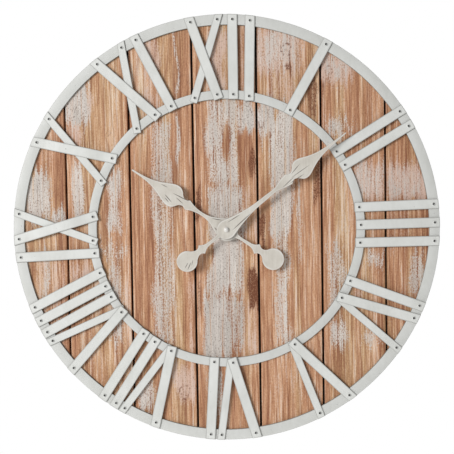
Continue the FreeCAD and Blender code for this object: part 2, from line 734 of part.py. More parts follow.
def make_going_train():
    centre_phase = 0.0
    y_wheel = deep(layer["centre_wheel"])
    wheel = wheel_at(centre, centre_teeth, centre_module, centre_phase, "centre_wheel")
    clutch_hole = disc(0, 0, clutch_radius + running_clearance, y_wheel, y_wheel + wheel_thickness)
    save("centre_wheel", wheel.cut(clutch_hole))
    washer_y = y_wheel - clutch_washer_gap - clutch_washer_thickness
    save("clutch_washer", tube(0, 0, clutch_washer_radius, clutch_radius, washer_y,
                               washer_y + clutch_washer_thickness))

    phase = meshing_phase(centre, centre_teeth, centre_phase, third_place, third_pinion_teeth)
    save("third_wheel", joined([
        pinion_at(third_place, third_pinion_teeth, centre_module, phase, "centre_wheel"),
        wheel_at(third_place, third_teeth, third_module, 0.0, "third_wheel"),
        arbor(third_place)]))

    # the second wheel runs on the dial axis, its front pivot in the rear of the minute arbor
    phase = meshing_phase(third_place, third_teeth, 0.0, centre, second_pinion_teeth)
    front = layer["centre_wheel"] + wheel_thickness + clutch_overlap - pivot_socket + pivot_end_play / 2
    rear = layer["bearing_plate"]
    save("second_wheel", joined([
        pinion_at(centre, second_pinion_teeth, third_module, phase, "third_wheel"),
        wheel_at(centre, second_teeth, second_module, 0.0, "second_wheel"),
        disc(0, 0, pivot_radius, deep(front), deep(rear + plate_thickness)),
        disc(0, 0, arbor_radius, deep(layer["third_wheel"]), deep(rear - arbor_shoulder))]))

    phase = meshing_phase(centre, second_teeth, 0.0, intermediate_place, intermediate_pinion_teeth)
    save("intermediate_wheel", joined([
        pinion_at(intermediate_place, intermediate_pinion_teeth, second_module, phase, "second_wheel"),
        wheel_at(intermediate_place, intermediate_teeth, rotor_module, 0.0, "intermediate_wheel"),
        arbor(intermediate_place)]))

    phase = meshing_phase(intermediate_place, intermediate_teeth, 0.0, rotor_place, rotor_teeth)
    magnet = disc(rotor_place[0], rotor_place[1], magnet_radius, deep(stator_depth - magnet_front),
                  deep(stator_depth + magnet_rear))
    save("rotor", joined([
        pinion_at(rotor_place, rotor_teeth, rotor_module, phase, "intermediate_wheel"), magnet,
        arbor(rotor_place)]))


# ---- movement case and its fixed parts ----
def make_case():
    half = case_width / 2
    inner = half - case_wall
    inner_top = case_top - case_wall
    shell = block(-half, half, y_case_front, y_case_rear, case_bottom, case_top)
    uprights = [e for e in shell.Edges if abs(e.Length - case_depth) < 0.01]
    shell = shell.makeFillet(case_corner, uprights)
    room = block(-inner, inner, y_case_front + case_wall, y_case_rear, shelf_top, inner_top)
    bay = block(-inner, inner, y_case_front + bay_floor, y_case_rear, bay_bottom, bay_top)
    bush_hole = disc(0, 0, bush_radius, y_case_front, deep(case_wall))
    flange = disc(0, 0, bush_flange_radius, deep(case_wall - bush_flange_thickness), deep(case_wall))
    pivots = [
        disc(x, z, pivot_radius + pivot_clearance, deep(case_wall - pivot_socket), deep(case_wall))
        for x, z in (minute_wheel_place, third_place, intermediate_place, rotor_place)]
    ledge = cover_clearance + cover_ledge
    cover_front = y_case_rear - cover_thickness
    cover_seat = block(-inner - ledge, inner + ledge, cover_front, y_case_rear, shelf_top - ledge,
                       inner_top + ledge)
    posts = [disc(x, z, post_radius, deep(case_wall), deep(layer["bearing_plate"])) for x, z in post_places()]
    front = shell.cut([room, bay, bush_hole, flange, cover_seat] + pivots).fuse(posts)
    post_screws = Part.makeCompound([plate_screw(x, z) for x, z in post_places()])
    save("case_front", front.cut(post_screws).removeSplitter())

    x, z = minute_wheel_place
    gap = cover_clearance
    cover = block(-inner - cover_ledge, inner + cover_ledge, cover_front, y_case_rear,
                  shelf_top - cover_ledge, inner_top + cover_ledge)
    knob_hole_radius = knob_shaft_radius + knob_shaft_clearance
    save("case_cover", cover.cut(disc(x, z, knob_hole_radius, cover_front, y_case_rear)))

    y_plate = deep(layer["bearing_plate"])
    y_plate_rear = y_plate + plate_thickness
    plate = block(-inner + gap, inner - gap, y_plate, y_plate_rear, shelf_top + gap, inner_top - gap)
    holes = [disc(px, pz, pivot_radius + pivot_clearance, y_plate, y_plate_rear)
             for px, pz in (centre, third_place, intermediate_place, rotor_place)]
    holes.append(disc(x, z, knob_hole_radius, y_plate, y_plate_rear))
    save("bearing_plate", plate.cut(holes).cut(post_screws))
    save("plate_screws", post_screws)

    bush = disc(0, 0, bush_radius, y_bush_tip, deep(case_wall)).fuse(flange)
    bush_bore = disc(0, 0, hour_tube_radius + running_clearance, y_bush_tip, deep(case_wall))
    save("centre_bush", bush.cut(bush_bore).removeSplitter())
    save("case_gasket", tube(0, 0, gasket_radius, bush_radius + bush_hole_clearance, y_batten_front,
                             y_case_front))
    y_washer = y_plank_front - washer_thickness
    save("dial_washer", tube(0, 0, washer_radius, bush_radius + washer_bore_clearance, y_washer,
                             y_plank_front))
    nut = prism(around(nut_across_flats / math.sqrt(3), 6), y_washer - nut_height, y_washer)
    save("dial_nut", nut.cut(disc(0, 0, bush_radius, y_washer - nut_height, y_washer)))


def post_places():
    reach = case_width / 2 - case_wall - post_inset
    low = shelf_top + post_inset
    return [(-reach, low), (-reach, case_top - case_wall - post_inset), (reach, low)]


def plate_screw(x, z):
    y_seat = deep(layer["bearing_plate"] + plate_thickness)
    return joined([
        disc(x, z, plate_screw_radius, y_seat - plate_screw_length, y_seat),
        disc(x, z, plate_screw_head_radius, y_seat, y_seat + plate_screw_head_height)])


def make_motor():
    # coil along the top, its core joined to the stator that holds the rotor's magnet
    x, z = rotor_place
    y0 = deep(stator_depth)
    y1 = y0 + stator_thickness
    arm = stator_arm
    coil_z = case_top - case_wall - coil_cheek_radius - coil_to_wall
    foot = coil_z - coil_cheek_radius - stator_foot_drop
    left, right = coil_left - stator_to_cheek, coil_right + stator_to_cheek
    outer_left = coil_left - arm
    ring_radius = magnet_radius + stator_gap + stator_rim
    stator = joined([
        block(outer_left, right + arm, y0, y1, coil_z - arm / 2, coil_z + arm / 2),
        block(right, right + arm, y0, y1, z, coil_z),
        block(outer_left, left, y0, y1, foot, coil_z),
        block(outer_left, x, y0, y1, foot, foot + arm),
        block(x - arm, x, y0, y1, z, foot + arm),
        disc(x, z, ring_radius, y0, y1)])
    save("stator", stator.cut(disc(x, z, magnet_radius + stator_gap, y0, y1)))
    core = block(outer_left, right + arm, y0, y1, coil_z - arm / 2, coil_z + arm / 2)
    y_mid = (y0 + y1) / 2
    cheeks = [Part.makeCylinder(coil_cheek_radius, coil_cheek_thickness, V(cheek_x, y_mid, coil_z),
                                V(1, 0, 0))
              for cheek_x in (coil_left, coil_right - coil_cheek_thickness)]
    winding = Part.makeCylinder(coil_cheek_radius - coil_cheek_rise, coil_right - coil_left,
                                V(coil_left, y_mid, coil_z), V(1, 0, 0))
    save("coil", joined([winding] + cheeks).cut(core))

    y_board = deep(layer["bearing_plate"] + plate_thickness)
    board = block(board_left, board_right, y_board, y_board + board_thickness, board_low, board_high)
    chip_x, chip_z = (board_left + board_right) / 2, (board_low + board_high) / 2
    chip = dome(chip_x, chip_z, chip_radius, chip_height, 0.0)
    chip.rotate(V(chip_x, 0, chip_z), V(1, 0, 0), 180)
    chip.translate(V(0, y_board + board_thickness, 0))
    save("circuit_board", board.fuse(chip))


def make_battery():
    y_axis = y_case_front + bay_floor + bay_front_play + battery_radius
    half = battery_length / 2
    cell = Part.makeCylinder(battery_radius, battery_length - battery_tip_length,
                             V(-half, y_axis, battery_height), V(1, 0, 0))
    rims = [e for e in cell.Edges if abs(e.Length - 2 * math.pi * battery_radius) < 0.01]
    cell = cell.makeFillet(battery_rim, rims)
    tip = Part.makeCylinder(battery_tip_radius, battery_tip_length,
                            V(half - battery_tip_length, y_axis, battery_height), V(1, 0, 0))
    save("battery", cell.fuse(tip))
    inner = case_width / 2 - case_wall
    for name, x0 in (("contact_plus", inner - contact_thickness), ("contact_minus", -inner)):
        leaf = block(x0, x0 + contact_thickness, y_case_front + contact_front_margin,
                     y_case_rear - contact_rear_margin, battery_height - contact_half_height,
                     battery_height + contact_half_height)
        save(name, leaf)


make_wood(make_rings(make_numerals()))
make_hands()
make_motion_work()
make_going_train()
make_case()
make_motor()
make_battery()
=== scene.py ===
import bpy
import bmesh
import math
import numpy as np
from mathutils import Matrix, Vector


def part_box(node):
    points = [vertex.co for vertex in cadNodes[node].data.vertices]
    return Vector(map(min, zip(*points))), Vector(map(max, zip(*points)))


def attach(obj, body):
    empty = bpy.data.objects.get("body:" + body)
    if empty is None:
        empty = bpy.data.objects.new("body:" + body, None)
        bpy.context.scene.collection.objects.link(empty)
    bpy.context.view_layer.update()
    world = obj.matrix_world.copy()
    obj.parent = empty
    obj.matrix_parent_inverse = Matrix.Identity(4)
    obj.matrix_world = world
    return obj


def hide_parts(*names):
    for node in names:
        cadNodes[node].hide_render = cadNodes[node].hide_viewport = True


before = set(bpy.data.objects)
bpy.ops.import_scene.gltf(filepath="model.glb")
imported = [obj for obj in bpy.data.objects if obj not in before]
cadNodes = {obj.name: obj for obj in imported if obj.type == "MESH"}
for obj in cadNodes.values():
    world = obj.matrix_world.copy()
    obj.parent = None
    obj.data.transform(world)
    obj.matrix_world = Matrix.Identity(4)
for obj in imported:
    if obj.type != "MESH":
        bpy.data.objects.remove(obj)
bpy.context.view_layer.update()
print("frame loaded:", len(cadNodes), "pieces")

# Lengths are millimetres about the dial's middle axis, +Z up and the dial facing -Y.
# putPiece() turns them into metres and lowers them to where the dial hangs.
ringLow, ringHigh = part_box("outer_ring")
dialCentre = (ringLow + ringHigh) / 2 * 1000
dialRadius = (ringHigh.x - ringLow.x) * 500


def frontOf(node):
    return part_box(node)[0].y * 1000


def backOf(node):
    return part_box(node)[1].y * 1000


def gridQuads(rows, columns, wrapRows=False, wrapColumns=False):
    # four neighbours of every cell of a grid whose points are numbered row by row
    row = np.arange(rows if wrapRows else rows - 1)
    column = np.arange(columns if wrapColumns else columns - 1)
    row, column = np.meshgrid(row, column, indexing="ij")
    nextRow, nextColumn = (row + 1) % rows, (column + 1) % columns
    corners = [row * columns + column, row * columns + nextColumn,
               nextRow * columns + nextColumn, nextRow * columns + column]
    return np.stack(corners, -1).reshape(-1, 4)


def putPiece(name, points, quads, material, replaced, body="clock", sharpAngle=32, attributes=None):
    # points in millimetres about the dial's axis; doubles merge, so a row drawn to one point closes a pole
    mesh = bpy.data.meshes.new(name)
    middle = np.array([dialCentre.x, 0.0, dialCentre.z])
    mesh.from_pydata(((points.reshape(-1, 3) + middle) / 1000).tolist(), [], quads.tolist())
    for key, values in (attributes or {}).items():
        layer = mesh.attributes.new(key, "FLOAT", "POINT")
        layer.data.foreach_set("value", np.asarray(values, dtype=np.float32).ravel())
    shell = bmesh.new()
    shell.from_mesh(mesh)
    bmesh.ops.remove_doubles(shell, verts=shell.verts, dist=2e-6)
    bmesh.ops.dissolve_degenerate(shell, edges=shell.edges, dist=1e-7)
    if shell.calc_volume(signed=True) < 0:
        bmesh.ops.reverse_faces(shell, faces=shell.faces)
    shell.to_mesh(mesh)
    shell.free()
    mesh.shade_smooth()
    mesh.set_sharp_from_angle(angle=math.radians(sharpAngle))
    mesh.materials.append(material)
    piece = bpy.data.objects.new(name, mesh)
    bpy.context.scene.collection.objects.link(piece)
    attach(piece, body)
    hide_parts(*replaced)


def edgeFall(distance, radius):
    # how far a rounded edge has dropped, a quarter circle seen from its side
    inside = np.clip(radius - distance, 0, radius)
    return radius - np.sqrt(radius ** 2 - inside ** 2)


def spaced(start, end, count, radius, roundStart=True, roundEnd=True):
    # even steps with four more beside each rounded end
    extra = radius * np.array([0.08, 0.3, 0.62, 1.0])
    steps = np.linspace(start, end, count)
    if roundStart:
        steps = np.concatenate([steps[:1], start + extra, steps[steps > start + radius * 1.3]])
    if roundEnd:
        steps = np.concatenate([steps[steps < end - radius * 1.3], end - extra[::-1], [end]])
    return steps


def slab(x, z, front, back):
    # closed plate over one grid: its front, its back and a wall round the border
    rows, columns = x.shape
    faces = gridQuads(rows, columns)
    count = rows * columns
    index = np.arange(count).reshape(rows, columns)
    border = np.concatenate([index[0, :-1], index[:-1, -1], index[-1, :0:-1], index[:0:-1, 0]])
    following = np.roll(border, -1)
    wall = np.stack([border, border + count, following + count, following], -1)
    points = np.stack([np.concatenate([x.ravel(), x.ravel()]),
                       np.concatenate([front.ravel(), np.broadcast_to(back, x.shape).ravel()]),
                       np.concatenate([z.ravel(), z.ravel()])], -1)
    return points, np.concatenate([faces, faces[:, ::-1] + count, wall])


def both(values):
    # a slab's values once for its front and once for its back
    return np.tile(values.ravel(), 2)


def merged(shapes):
    # several (points, quads) as one, each numbered after the last
    points, quads, offset = [], [], 0
    for shapePoints, shapeQuads in shapes:
        points.append(shapePoints.reshape(-1, 3))
        quads.append(shapeQuads + offset)
        offset += len(points[-1])
    return np.concatenate(points), np.concatenate(quads)


def turned(profile, places, steps):
    # profile of (radius, y) carried round an axis along Y, once for each (x, z, y) place
    radius, height = np.array(profile, dtype=float).T
    angle = np.linspace(0, 2 * math.pi, steps, endpoint=False)
    places = np.array(places, dtype=float).reshape(-1, 1, 1, 3)
    x = places[..., 0] + radius[:, None] * np.sin(angle)
    z = places[..., 1] + radius[:, None] * np.cos(angle)
    y = places[..., 2] + height[:, None] + 0 * angle
    points = np.stack([x, y, z], -1)
    one = gridQuads(len(radius), steps, wrapColumns=True)
    starts = np.arange(len(places))[:, None, None] * len(radius) * steps
    return points, (one[None] + starts).reshape(-1, 4)


def turnedClockwise(points, degrees):
    # about the dial's axis, as a reader in front of the dial sees it
    a = math.radians(degrees)
    x, y, z = points[..., 0], points[..., 1], points[..., 2]
    return np.stack([x * math.cos(a) + z * math.sin(a), y, z * math.cos(a) - x * math.sin(a)], -1)


def ripple(x, z, seed, lengthX, lengthZ):
    # wandering value between -1 and 1: the mean of six crossed sine waves of nearby lengths
    draw = np.random.default_rng(seed)
    total = 0
    for stretchX, stretchZ, start in draw.uniform([0.5, 0.5, 0], [1.8, 1.8, 6.28], (6, 3)):
        total = total + np.sin(6.28 * (x * stretchX / lengthX + z * stretchZ / lengthZ) + start)
        total = total + np.sin(6.28 * (x * stretchZ / lengthX - z * stretchX / lengthZ) + 2 * start)
    return total / 6


def newFinish(name, **values):
    # a material with only its shader, whose constants are set on its own sockets
    material = bpy.data.materials.new(name)
    material.use_nodes = True
    tree = material.node_tree
    tree.nodes.clear()
    output = tree.nodes.new("ShaderNodeOutputMaterial")
    shader = tree.nodes.new("ShaderNodeBsdfPrincipled")
    tree.links.new(shader.outputs[0], output.inputs["Surface"])
    for key, value in values.items():
        shader.inputs[key].default_value = value
    return material, tree, shader


def connect(tree, value, socket):
    # a socket is linked, a number or a colour is set
    if isinstance(value, bpy.types.NodeSocket):
        tree.links.new(value, socket)
    elif isinstance(value, (tuple, list)) and len(value) == 3 and socket.type == "RGBA":
        socket.default_value = (*value, 1.0)
    else:
        socket.default_value = value


def calc(tree, operation, a, b=0.0, c=None, clamp=False):
    node = tree.nodes.new("ShaderNodeMath")
    node.operation = operation
    node.use_clamp = clamp
    connect(tree, a, node.inputs[0])
    connect(tree, b, node.inputs[1])
    if c is not None:
        connect(tree, c, node.inputs[2])
    return node.outputs[0]


def times(tree, a, b):
    return calc(tree, "MULTIPLY", a, b)


def plus(tree, a, b):
    return calc(tree, "ADD", a, b)


def cover(tree, value, gain, start):
    # 0 where the value is low and 1 where it is high, with a slope between
    return calc(tree, "MULTIPLY_ADD", value, gain, start, clamp=True)


def blend(tree, factor, first, second):
    node = tree.nodes.new("ShaderNodeMix")
    node.data_type = "RGBA"
    connect(tree, factor, node.inputs[0])
    connect(tree, first, node.inputs[6])
    connect(tree, second, node.inputs[7])
    return node.outputs[2]


def coordinates(tree, scale=(1, 1, 1), turn=(0, 0, 0), move=(0, 0, 0)):
    source = tree.nodes.new("ShaderNodeTexCoord")
    mapping = tree.nodes.new("ShaderNodeMapping")
    mapping.inputs["Scale"].default_value = scale
    mapping.inputs["Rotation"].default_value = turn
    mapping.inputs["Location"].default_value = move
    tree.links.new(source.outputs["Object"], mapping.inputs["Vector"])
    return mapping.outputs[0]


def noise(tree, vector, scale, detail=3.0, roughness=0.55, distortion=0.0):
    node = tree.nodes.new("ShaderNodeTexNoise")
    tree.links.new(vector, node.inputs["Vector"])
    node.inputs["Scale"].default_value = scale
    node.inputs["Detail"].default_value = detail
    node.inputs["Roughness"].default_value = roughness
    node.inputs["Distortion"].default_value = distortion
    return node.outputs["Fac"]


def ramp(tree, value, stops):
    node = tree.nodes.new("ShaderNodeValToRGB")
    band = node.color_ramp
    while len(band.elements) < len(stops):
        band.elements.new(0.5)
    for element, (position, colour) in zip(band.elements, stops):
        element.position = position
        element.color = (*colour, 1.0)
    connect(tree, value, node.inputs[0])
    return node.outputs[0]


def attribute(tree, name):
    node = tree.nodes.new("ShaderNodeAttribute")
    node.attribute_name = name
    return node.outputs["Fac"]


def bump(tree, shader, height, distance, strength=1.0):
    node = tree.nodes.new("ShaderNodeBump")
    node.inputs["Distance"].default_value = distance
    node.inputs["Strength"].default_value = strength
    tree.links.new(height, node.inputs["Height"])
    tree.links.new(node.outputs[0], shader.inputs["Normal"])


# the dial: washed pine. Its colours, the gain of each noise in the wood, and how strong each layer is
pine = {
    "deep": (0.27, 0.11, 0.055), "umber": (0.41, 0.20, 0.105), "brown": (0.52, 0.272, 0.152),
    "honey": (0.645, 0.39, 0.24), "pale": (0.77, 0.60, 0.475), "line": (0.22, 0.08, 0.045),
    "knot": (0.155, 0.052, 0.024), "rose": (0.64, 0.475, 0.40), "white": (0.71, 0.665, 0.62),
    "grey": (0.50, 0.46, 0.42), "speck": (0.17, 0.115, 0.09),
    "bark": (0.37, 0.20, 0.10), "tan": (0.50, 0.295, 0.155), "straw": (0.62, 0.415, 0.245),
    "cream": (0.77, 0.625, 0.475),
    "toneGain": 0.3, "cloudGain": 0.35, "streakGain": 1.15, "middleGain": 1.05, "fineGain": 1.5,
    "gritGain": 0.75, "lateCover": 0.42, "limedCover": 0.55, "roseCover": 0.8, "pitCover": 0.75,
    "stainCover": 0.9, "washCover": 0.95, "bareLines": 0.6, "relief": 0.00035,
}


def centred(tree, value, gain, base):
    # base plus the value times its gain, with a value of one half adding nothing
    return calc(tree, "MULTIPLY_ADD", value, gain, plus(tree, base, -0.5 * gain))


def woodRamp(tree, value, names):
    # five colours from the darkest grain to the palest
    return ramp(tree, value, list(zip((0.08, 0.3, 0.5, 0.68, 0.92), [pine[name] for name in names])))


def washedPine():
    material, tree, shader = newFinish("washedPine", Roughness=0.62, **{"Specular IOR Level": 0.3})
    fine = noise(tree, coordinates(tree, (1, 1, 0.03)), 760, 3, 0.6)
    middle = noise(tree, coordinates(tree, (1, 1, 0.018), move=(0.7, 0, 0.4)), 300, 3, 0.6)
    streak = noise(tree, coordinates(tree, (1, 1, 0.02), move=(0.31, 0, 0.2)), 95, 3, 0.6)
    grit = noise(tree, coordinates(tree, (1, 1, 0.62)), 620, 2, 0.75)
    cloud = noise(tree, coordinates(tree, (1, 1, 0.35)), 42, 4, 0.65)
    band = noise(tree, coordinates(tree, (1, 1, 0.06), move=(0.53, 0, 0.9)), 48, 2, 0.5)
    scrape = noise(tree, coordinates(tree, (1, 1, 0.014), move=(0.13, 0, 0.6)), 560, 2, 0.55)
    wash, rose = attribute(tree, "wash"), attribute(tree, "rose")
    tone, knot = attribute(tree, "tone"), attribute(tree, "knot")
    # yearly rings: a soft early side and a narrow dark late side in each turn of ringPhase
    phase = calc(tree, "MULTIPLY_ADD", streak, 0.6, attribute(tree, "ringPhase"))
    late = ramp(tree, calc(tree, "FRACT", phase), [
        (0.0, (0, 0, 0)), (0.5, (0.08,) * 3), (0.82, (1, 1, 1)), (0.94, (0.15,) * 3), (1.0, (0, 0, 0))])
    body = calc(tree, "MULTIPLY_ADD", tone, pine["toneGain"], 0.5)
    for grain, gain in ((streak, "streakGain"), (cloud, "cloudGain"), (middle, "middleGain"),
                        (fine, "fineGain"), (grit, "gritGain")):
        body = centred(tree, grain, pine[gain], body)
    # some bands of the board are yellower than the rest
    colour = blend(tree, cover(tree, band, 6.0, -2.8),
                   woodRamp(tree, body, ("deep", "umber", "brown", "honey", "pale")),
                   woodRamp(tree, body, ("deep", "bark", "tan", "straw", "cream")))
    colour = blend(tree, times(tree, late, pine["lateCover"]), colour, pine["line"])
    # narrow streaks where the wash stayed in the open grain
    limed = cover(tree, plus(tree, middle, times(tree, fine, 0.5)), 9.0, -7.6)
    colour = blend(tree, times(tree, limed, pine["limedCover"]), colour, pine["pale"])
    # the wash keeps to the raised grain, so its edge is broken by fine and gritty noise
    broken = centred(tree, fine, 1.0, centred(tree, grit, 1.5, centred(tree, cloud, 1.0, 0.0)))
    roseCover = cover(tree, plus(tree, centred(tree, middle, 1.6, broken), rose), 2.0, -0.62)
    colour = blend(tree, times(tree, roseCover, pine["roseCover"]), colour, pine["rose"])
    washCover = cover(tree, plus(tree, centred(tree, middle, 0.7, broken), wash), 3.0, -0.95)
    dull = calc(tree, "MULTIPLY_ADD", plus(tree, cloud, times(tree, fine, 0.8)), 2.2, -1.6)
    chalk = blend(tree, calc(tree, "SUBTRACT", dull, tone, clamp=True), pine["white"], pine["grey"])
    # thin lines of bare grain run through it
    bareGrain = cover(tree, scrape, 9.0, -4.85)
    kept = calc(tree, "MULTIPLY_ADD", bareGrain, -pine["bareLines"], pine["washCover"])
    colour = blend(tree, times(tree, washCover, kept), colour, chalk)
    # dark pits, more of them where there is paint
    paint = calc(tree, "MAXIMUM", wash, times(tree, rose, 0.6))
    limit = calc(tree, "MULTIPLY_ADD", times(tree, paint, cloud), 0.26, 0.325)
    pits = cover(tree, calc(tree, "SUBTRACT", limit, grit), 14.0, 0.0)
    colour = blend(tree, times(tree, pits, pine["pitCover"]), colour, pine["speck"])
    stain = calc(tree, "MULTIPLY_ADD", knot, 1.5, calc(tree, "MULTIPLY_ADD", grit, 4.0, -2.5))
    stain = calc(tree, "MULTIPLY", calc(tree, "MAXIMUM", stain, 0.0), pine["stainCover"], clamp=True)
    colour = blend(tree, stain, colour, pine["knot"])
    tree.links.new(colour, shader.inputs["Base Color"])
    height = plus(tree, times(tree, late, 0.5), times(tree, fine, 0.6))
    bump(tree, shader, calc(tree, "MULTIPLY_ADD", washCover, 0.4, height), pine["relief"], 0.8)
    return material


# one entry per plank. heart: where the flame of the grain runs; ring: its width;
# patches: (kind, left, right, top, bottom, strength), where wash and rose are paint, tone is paler or darker
# wood, burn a dark stain and bare a place with no paint; knots: (x, z, size, strength)
plankLooks = {
    "plank_1": {"heart": -330, "ring": 8.0, "patches": [
        ("wash", -284, -249, 86, 12, 0.75), ("wash", -246, -226, 32, 8, 0.9),
        ("rose", -275, -240, 130, 90, 0.35),
        ("wash", -262, -252, -30, -190, 0.4), ("rose", -292, -228, -30, -220, 0.4),
        ("tone", -250, -226, 112, 40, -0.5), ("tone", -300, -250, 180, 100, 0.2)], "knots": []},
    "plank_2": {"heart": -172, "ring": 7.0, "patches": [
        ("wash", -178, -140, -14, -44, 0.55),
        ("wash", -228, -190, 216, 152, 0.8), ("rose", -203, -186, 195, 155, 0.7),
        ("rose", -228, -200, 156, 114, 0.55),
        ("wash", -215, -201, 103, 12, 0.72), ("wash", -168, -146, 90, -6, 0.62),
        ("rose", -222, -188, -46, -74, 0.6),
        ("wash", -166, -149, -18, -165, 0.5), ("wash", -171, -147, -136, -164, 0.55),
        ("tone", -186, -140, 230, 100, 0.25), ("rose", -200, -140, -60, -230, 0.25),
        ("tone", -225, -215, 20, -130, -0.3)], "knots": [(-184, 165, 3, 0.5), (-163, 138, 3, 0.6)]},
    "plank_3": {"heart": -66, "ring": 8.5, "patches": [
        ("rose", -114, -88, 272, 216, 0.75), ("tone", -134, -113, 240, 195, 0.5),
        ("rose", -111, -92, 198, 170, 0.55),
        ("wash", -107, -74, 156, -165, 0.5), ("wash", -128, -106, -214, -262, 0.7),
        ("rose", -56, -47, -70, -178, 0.6), ("wash", -69, -64, 275, 87, 0.55),
        ("rose", -100, -80, 160, -160, 0.3),
        ("tone", -74, -48, 80, -130, 0.15), ("rose", -76, -50, -190, -248, 0.75),
        ("tone", -130, -110, 60, -200, 0.1)],
        "knots": [(-63, -231, 7, 1.0), (-70, 211, 5, 0.6), (-56, 210, 6, 0.6)]},
    "plank_4": {"heart": 34, "ring": 9.0, "patches": [
        ("rose", -22, 4, 276, 190, 0.8), ("wash", -27, 20, 186, 60, 0.66),
        ("wash", -24, 24, 62, -92, 0.82), ("tone", -24, 22, 60, -90, -0.12),
        ("rose", -24, -10, 60, -90, 0.4),
        ("wash", -34, 2, -92, -186, 0.95), ("tone", -34, 24, -92, -186, -0.45),
        ("wash", 0, 22, -90, -180, 0.6), ("bare", -2, 6, 144, 98, 0.9), ("tone", -2, 6, 142, 100, -1.0),
        ("wash", 21, 42, 178, 130, 0.95), ("bare", 22, 44, 138, 66, 0.9),
        ("tone", 22, 42, 136, 70, -0.6), ("burn", 32, 43, 112, 76, 0.9), ("rose", 22, 42, 70, -40, 0.5),
        ("burn", 31, 44, -56, -116, 1.1), ("bare", 24, 44, -20, -92, 0.9),
        ("tone", 24, 40, -20, -90, -0.35), ("rose", 26, 44, -95, -185, 0.6),
        ("tone", -44, -27, 260, -200, 0.15),
        ("burn", -44, -33, 58, 18, 0.95), ("burn", -43, -36, -66, -122, 0.6),
        ("rose", 6, 30, 276, 180, 0.35),
        ("wash", -30, -4, -200, -280, 0.5)], "knots": [(-38, 38, 4, 0.5)]},
    "plank_5": {"heart": 58, "ring": 8.0, "patches": [
        ("tone", 44, 55, 280, 190, 0.35), ("rose", 46, 106, 282, 216, 0.85),
        ("wash", 52, 104, 280, 222, 0.5), ("burn", 87, 90.5, 236, 218, 1.0),
        ("burn", 92.5, 95.5, 234, 216, 1.0), ("tone", 106, 130, 262, 238, 0.4),
        ("wash", 44, 67, 178, 130, 0.88), ("tone", 46, 62, 134, 92, 0.2),
        ("wash", 64, 94, 170, -14, 0.78),
        ("rose", 62, 100, 222, 150, 0.4), ("wash", 68, 90, 4, -170, 0.62),
        ("burn", 116, 133, 212, 158, 0.8),
        ("burn", 123, 135, 106, 36, 0.85), ("burn", 45, 56, 20, -20, 0.95),
        ("wash", 100, 106, 90, -60, 0.4),
        ("rose", 86, 96, 120, -160, 0.35), ("rose", 60, 110, -200, -250, 0.3)],
        "knots": [(87, 250, 6.5, 1.0), (51, 147, 3.5, 0.9), (90, 226, 2.5, 0.8)]},
    "plank_6": {"heart": 240, "ring": 6.5, "patches": [
        ("rose", 133, 182, 246, 202, 0.9), ("wash", 140, 176, 240, 208, 0.5),
        ("tone", 134, 161, 210, 150, 0.15), ("burn", 134, 142, 208, 160, 0.7),
        ("wash", 143, 182, 156, 124, 0.6), ("rose", 181, 224, 92, 36, 0.9),
        ("wash", 184, 224, 90, 40, 0.5),
        ("rose", 137, 146, 180, 20, 0.4), ("wash", 142, 168, -30, -122, 0.5),
        ("wash", 199, 224, -30, -60, 0.62),
        ("rose", 174, 194, -84, -102, 0.8), ("wash", 146, 170, -130, -174, 0.7),
        ("wash", 188, 218, -142, -168, 0.62),
        ("tone", 150, 176, 66, -20, 0.3), ("tone", 180, 224, 200, 100, -0.15)],
        "knots": [(147, 220, 4.5, 0.8)]},
    "plank_7": {"heart": 330, "ring": 7.5, "patches": [
        ("tone", 222, 310, 200, -200, -0.3), ("rose", 227, 282, 90, 36, 0.95),
        ("wash", 228, 276, 88, 38, 0.45),
        ("wash", 258, 284, -30, -100, 0.55), ("rose", 227, 262, 36, -30, 0.3)], "knots": []},
}
plank = {"edgeRadius": 1.0, "rimRadius": 0.7, "relief": 0.16, "rows": 180, "columnStep": 1.9, "rimSteps": 30,
         "patchDrift": 4.0, "patchRagged": 13.0}


def patchField(x, z, patches, kind, seed):
    # the strongest patch of one kind at each point, with edges that wander and fade
    drift = plank["patchDrift"] * ripple(x, z, seed, 46, 110)
    field = np.zeros_like(x)
    for name, left, right, top, bottom, strength in patches:
        if name != kind:
            continue
        sharp = kind == "burn"
        fadeX = min(10.0, (right - left) * (0.25 if sharp else 0.42))
        inX = np.clip(np.minimum(x + drift - left, right - x - drift) / fadeX + 0.5, 0, 1)
        ragged = plank["patchRagged"] * ripple(x, z, seed + 3, 12, 120)
        fadeZ = 9.0 if sharp else 24.0
        inZ = np.clip(np.minimum(z + ragged - bottom, top - z - ragged) / fadeZ + 0.5, 0, 1)
        value = strength * inX ** 0.8 * inZ
        field = np.where(np.abs(value) > np.abs(field), value, field)
    return field


def ringPhase(x, z, look, seed):
    # rings as hyperbolas about the heart line, pushed aside round each knot
    heart = look["heart"] + 9 * ripple(0 * x, z, seed + 9, 50, 420)
    across = x - heart
    for knotX, knotZ, size, _ in look["knots"]:
        dx, dz = x - knotX, z - knotZ
        reach = 1.5 * size * np.exp(-(dz / (3.5 * size)) ** 2)
        pushed = np.sign(dx) * np.sqrt(np.maximum(dx ** 2 - reach ** 2, 0)) - dx
        across = across + pushed * np.exp(-np.abs(dx) / 30)
    return np.hypot(across, 9.0) / look["ring"] + z / 330 + 0.5 * ripple(x, z, seed + 5, 60, 500)


